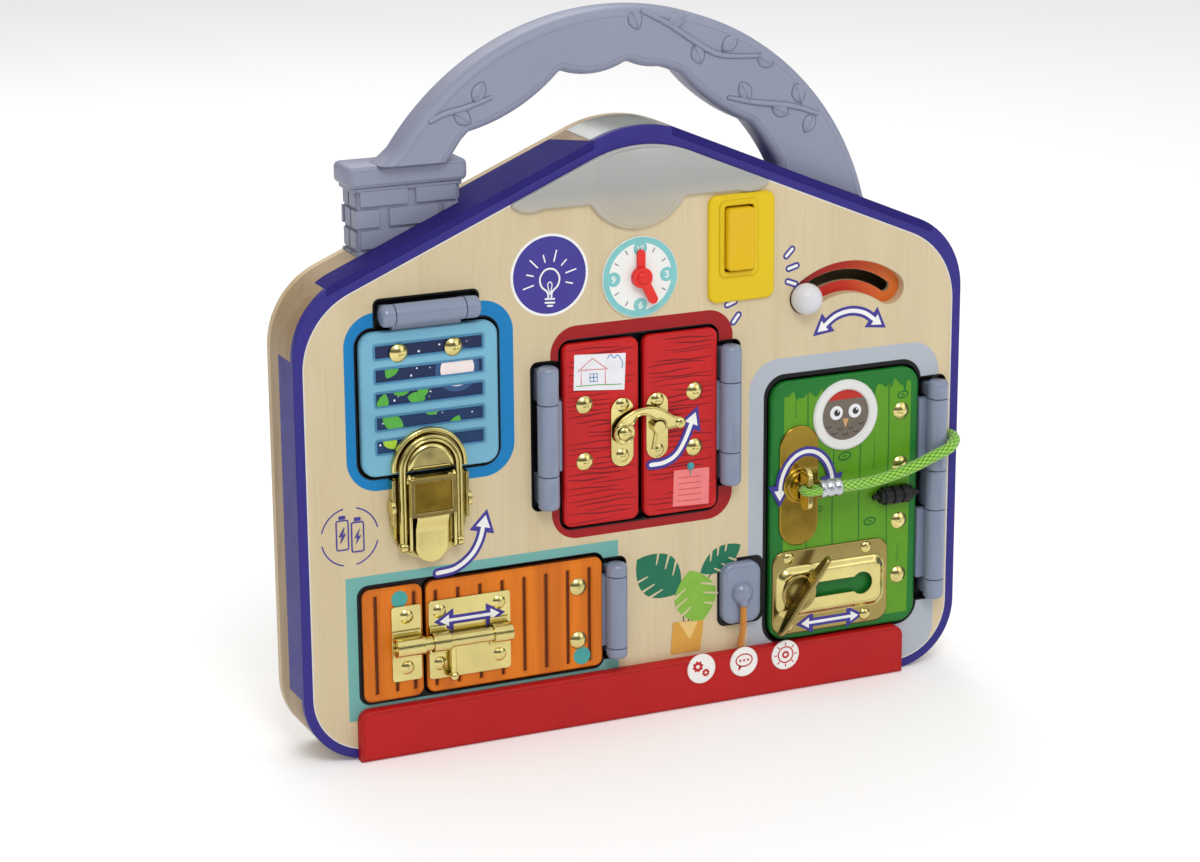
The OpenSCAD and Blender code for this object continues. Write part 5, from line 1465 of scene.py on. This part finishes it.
face_signs = sign([(-94, 76.5), (-86, 77.5), (-79, 82), (-75, 88), (-73, 95)])
face_signs += sign([(86, 162.2), (92, 166.4), (99, 167.9), (106, 166.4), (112, 162.2)], head=4.8,
                   both=True)
for ray in (((44.2, 184.1), (42, 180.8)), ((43.4, 178), (39.8, 176.8)), ((45.2, 172), (42.8, 169)),
            ((67.8, 195.2), (70.6, 198)), ((69, 189.6), (72.8, 190.6)), ((68.6, 184), (72.2, 182.6))):
    face_signs += [(1, purple_ink, stroke(ray, 3.1)), (1.8, white_ink, stroke(ray, 1.3))]
print_on("face_signs", "board", FACE_FRONT, face_signs)
lift_path = [(3, 111.5), (9, 111.8), (14.6, 114.4), (18.6, 120), (22.4, 128.6)]
print_on("lift_sign", "red_right", DOOR_FRONT, sign(lift_path, base=4))
BOLT_PLATE_FRONT = -2.8
bolt_sign = sign([(-91.4, 56.2), (-70.8, 56.2)], 1.5, 4.4, True)
print_on("bolt_sign", "orange", BOLT_PLATE_FRONT, bolt_sign)
slot_sign = sign([(78.4, 29.5), (101, 29.5)], 1.5, 4.2, True)
print_on("slot_sign", "green", PLATE_FRONT, slot_sign)
turn_angles = np.radians(np.linspace(-92, 86, 17))
turn_path = np.stack([77.2 + 12.9 * np.sin(turn_angles), 91.6 + 16.8 * np.cos(turn_angles)], 1)
turn_parts = [(*slab(shape, PLATE_FRONT - 0.1 - 0.05 * layer, DOOR_FRONT - 0.02), tone)
              for layer, tone, shape in sign(turn_path, 1.9, 5.0, True)]
piece("turn_sign", turn_parts, "green")

BADGE_X, BADGE_Z = -41.9, 198.1
badge = [(1, white_ink, disc(BADGE_X, BADGE_Z, 17.4, 80)),
         (2, purple_ink, disc(BADGE_X, BADGE_Z, 16.3, 80))]
bulb = smooth([(-42.6, 188.6), (-43, 191), (-45.6, 193.6), (-46.2, 197.2), (-43.8, 200.4),
               (-40, 200.4), (-37.6, 197.2), (-38.2, 193.6), (-40.8, 191), (-41.2, 188.6)], 6)
filament = smooth([(-41.9, 190), (-42.8, 194), (-41.8, 195.2), (-40.9, 194), (-41.7, 190)], 5)
badge_lines = [(bulb, 0.75), ([(-43.9, 188.2), (-39.9, 187.9)], 0.75),
               ([(-43.9, 186.6), (-39.9, 186.3)], 0.75), ([(-42.9, 185.2), (-40.9, 185)], 0.8),
               (filament, 0.45)]
badge_lines += [(spoke(BADGE_X, 196.4, 7.6, 10.6 if k % 2 else 12.2, 195 - 30 * k), 0.6)
                for k in range(8)]
badge += [(3, white_ink, stroke(line, width)) for line, width in badge_lines]
print_on("lamp_badge", "board", FACE_FRONT, badge)

cells = []
flash = [(0.9, 3.4), (-1.5, -0.5), (-0.2, -0.3), (-0.9, -3.4), (1.5, 0.5), (0.2, 0.3)]
for x, z, up in ((-135.2, 98.6, 0), (-128.6, 97.2, 1.4)):
    outline = box(x - 2.9, z - 6.6, x + 2.9, z + 6.6, 1.1)
    cells += [(1 + up, face_wood, outline),
              (1.5 + up, purple_ink, outline + [inset(outline[0], 0.6)[::-1]]),
              (1.5, purple_ink, box(x - 1.5, z + 6.8, x + 1.5, z + 8.4, 0.5)),
              (3.4, purple_ink, poly(*np.array(flash) + (x, z)))]
cells += [(1, purple_ink, stroke(arc(-132, 97.6, 12.4, 90 - a, 28 - a, 12), 0.6))
          for a in (15, 105, 195, 285)]
print_on("cell_sign", "board", FACE_FRONT, cells)

# Potted plant
# A print beside the strike box. Three broad leaves with slits stand on thin stems in a
# faceted pot.
leaf_dark = ink("leaf_dark", srgb(30, 112, 82))
leaf_light = ink("leaf_light", srgb(132, 182, 66))
pot_ochre = ink("pot_ochre", srgb(214, 158, 68))
pot_pale = ink("pot_pale", srgb(232, 196, 120))
slit_ink = ink("slit_cream", srgb(210, 193, 157))
stem_ink = ink("stem_green", srgb(42, 60, 50))
plant = [(1, stem_ink, stroke(smooth(line, 6), 0.5)) for line in (
    [(20, 36), (18, 46), (12, 58)], [(21.5, 36), (23, 44), (25, 50)], [(23, 36), (27, 50), (36, 62)])]
for k, (x, z, length, width, turn, tone) in enumerate([
        (18, 52, 27, 20, 140, leaf_dark), (27.5, 59, 22, 11, 28, leaf_dark),
        (22.5, 61, 25, 20, -78, leaf_light)]):
    plant.append((2 + k, tone, leaf(x, z, length, width, turn)))
    for q in (0.3, 0.48, 0.66):
        for side in (-1, 1):
            half = width / 2 * math.sin(math.pi * (q + 0.07)) ** 0.8
            along, across = np.array([q + 0.1, q]) * length, np.array([half + 0.3, half * 0.42])
            slit = swung(along, side * across, x, z, turn)
            plant.append((2.5 + k, slit_ink, stroke(slit, 1.1, 0.5)))
plant += [(5.6, pot_ochre, poly((13.2, 24), (27.4, 24), (29, 37.4), (14.4, 38.4))),
          (6.2, pot_pale, poly((17, 38.2), (26.2, 37.6), (22.4, 29.6)))]
print_on("plant_print", "board", FACE_FRONT, plant)

# Pictures behind the doors
# Each door opens on a picture printed on the inner board: a night sky, a room with two
# shelves, a sofa on wheels and a plant in a pot. Round them the board is painted black as shade.
INNER_Y = 5.0
room_ink = ink("room_cream", srgb(226, 200, 150))
wall_ink = ink("wall_green", srgb(150, 190, 170))
rug_ink = ink("rug_blue", srgb(80, 120, 168))
box_ink = ink("crate_brown", srgb(150, 96, 54))
gap_ink = ink("wheel_black", srgb(34, 34, 40))
# Painted shade: black over the edges of the openings and along the gap between the red doors.
opening_shade = ink("opening_shade_ink", srgb(16, 15, 20))
inside = [(0.6, opening_shade, box(*area)) for area in [
    (-128.4, 120, -64.4, 184.6), (-119.8, 184.6, -73, 196), (-38.8, 86.6, 36.3, 170),
    (-51.4, 96.8, -38.8, 162), (36.3, 96.8, 46.6, 162), (-102, 23, -18, 75.8),
    (-18, 26.4, -7.4, 72.6), (57.4, 20.8, 135.2, 143.6), (135.2, 30.6, 143.4, 134.8)]]
inside += [(2, opening_shade, box(-5, 91, 2.5, 165.4))]
hill = [(-122, 126), (-70, 126), (-70, 136), (-84, 143), (-98, 138), (-110, 144), (-122, 137)]
inside += [(1, night, box(-122, 126, -70, 180)), (2, halo_ink, disc(-86, 166, 9)),
           (3, moon_ink, disc(-86, 166, 6.8)), (2, bush_ink, poly(*hill))]
inside += [(2, star_ink, disc(x, z, 0.6, 12)) for x, z in
           ((-116, 172), (-108, 160), (-100, 174), (-97, 153), (-76, 152), (-113, 151))]
inside += [(1, room_ink, box(-34, 91, 31.4, 165.4)), (2, box_ink, box(-34, 91, 31.4, 100)),
           (2.5, rug_ink, oval(16, 97, 12, 3)), (2.5, rug_ink, oval(-20, 97, 11, 3)),
           (1.5, box_ink, box(-30, 118, 28, 120.4)), (1.5, box_ink, box(-30, 140, 28, 142.4))]
books = [(red_ink, 14), (rug_ink, 16), (pot_ochre, 12), (leaf_dark, 15), (purple_ink, 13),
         (pot_pale, 16), (red_ink, 12), (leaf_light, 15)]
for k, (tone, h) in enumerate(books):
    step = 5.6 * (k % 4) + (k > 3) * 33
    inside += [(1.5, tone, box(-28 + step, 120.5, -23 + step, 120.5 + h, 0.6)),
               (1.5, tone, box(22.5 - step, 142.5, 27.5 - step, 141.5 + h, 0.6))]
inside += [(1, wall_ink, box(-96, 28, -26, 71)), (2, groove_brown, box(-96, 28, -26, 34)),
           (3, rug_ink, box(-80, 38, -44, 50, 4)), (3.6, rug_ink, box(-73, 49, -51, 58, 4)),
           (4, star_ink, box(-70, 50, -63, 55.4, 1)), (4, star_ink, box(-61, 50, -54, 55.4, 1)),
           (5, gap_ink, disc(-72, 38, 4.4)), (5, gap_ink, disc(-52, 38, 4.4)),
           (6, star_ink, disc(-72, 38, 1.8, 24)), (6, star_ink, disc(-52, 38, 1.8, 24))]
inside += [(1, room_ink, box(64, 27, 128, 137)), (2, box_ink, box(64, 27, 128, 38)),
           (3, rug_ink, oval(96, 34, 24, 4)), (4, leaf_dark, leaf(96, 70, 44, 22, 90)),
           (5, leaf_light, leaf(96, 66, 34, 16, 128)), (5.5, leaf_light, leaf(96, 66, 34, 16, 52)),
           (6, red_ink, poly((86, 68), (106, 68), (103, 48), (89, 48)))]
print_on("inside_pictures", "board", INNER_Y, inside)
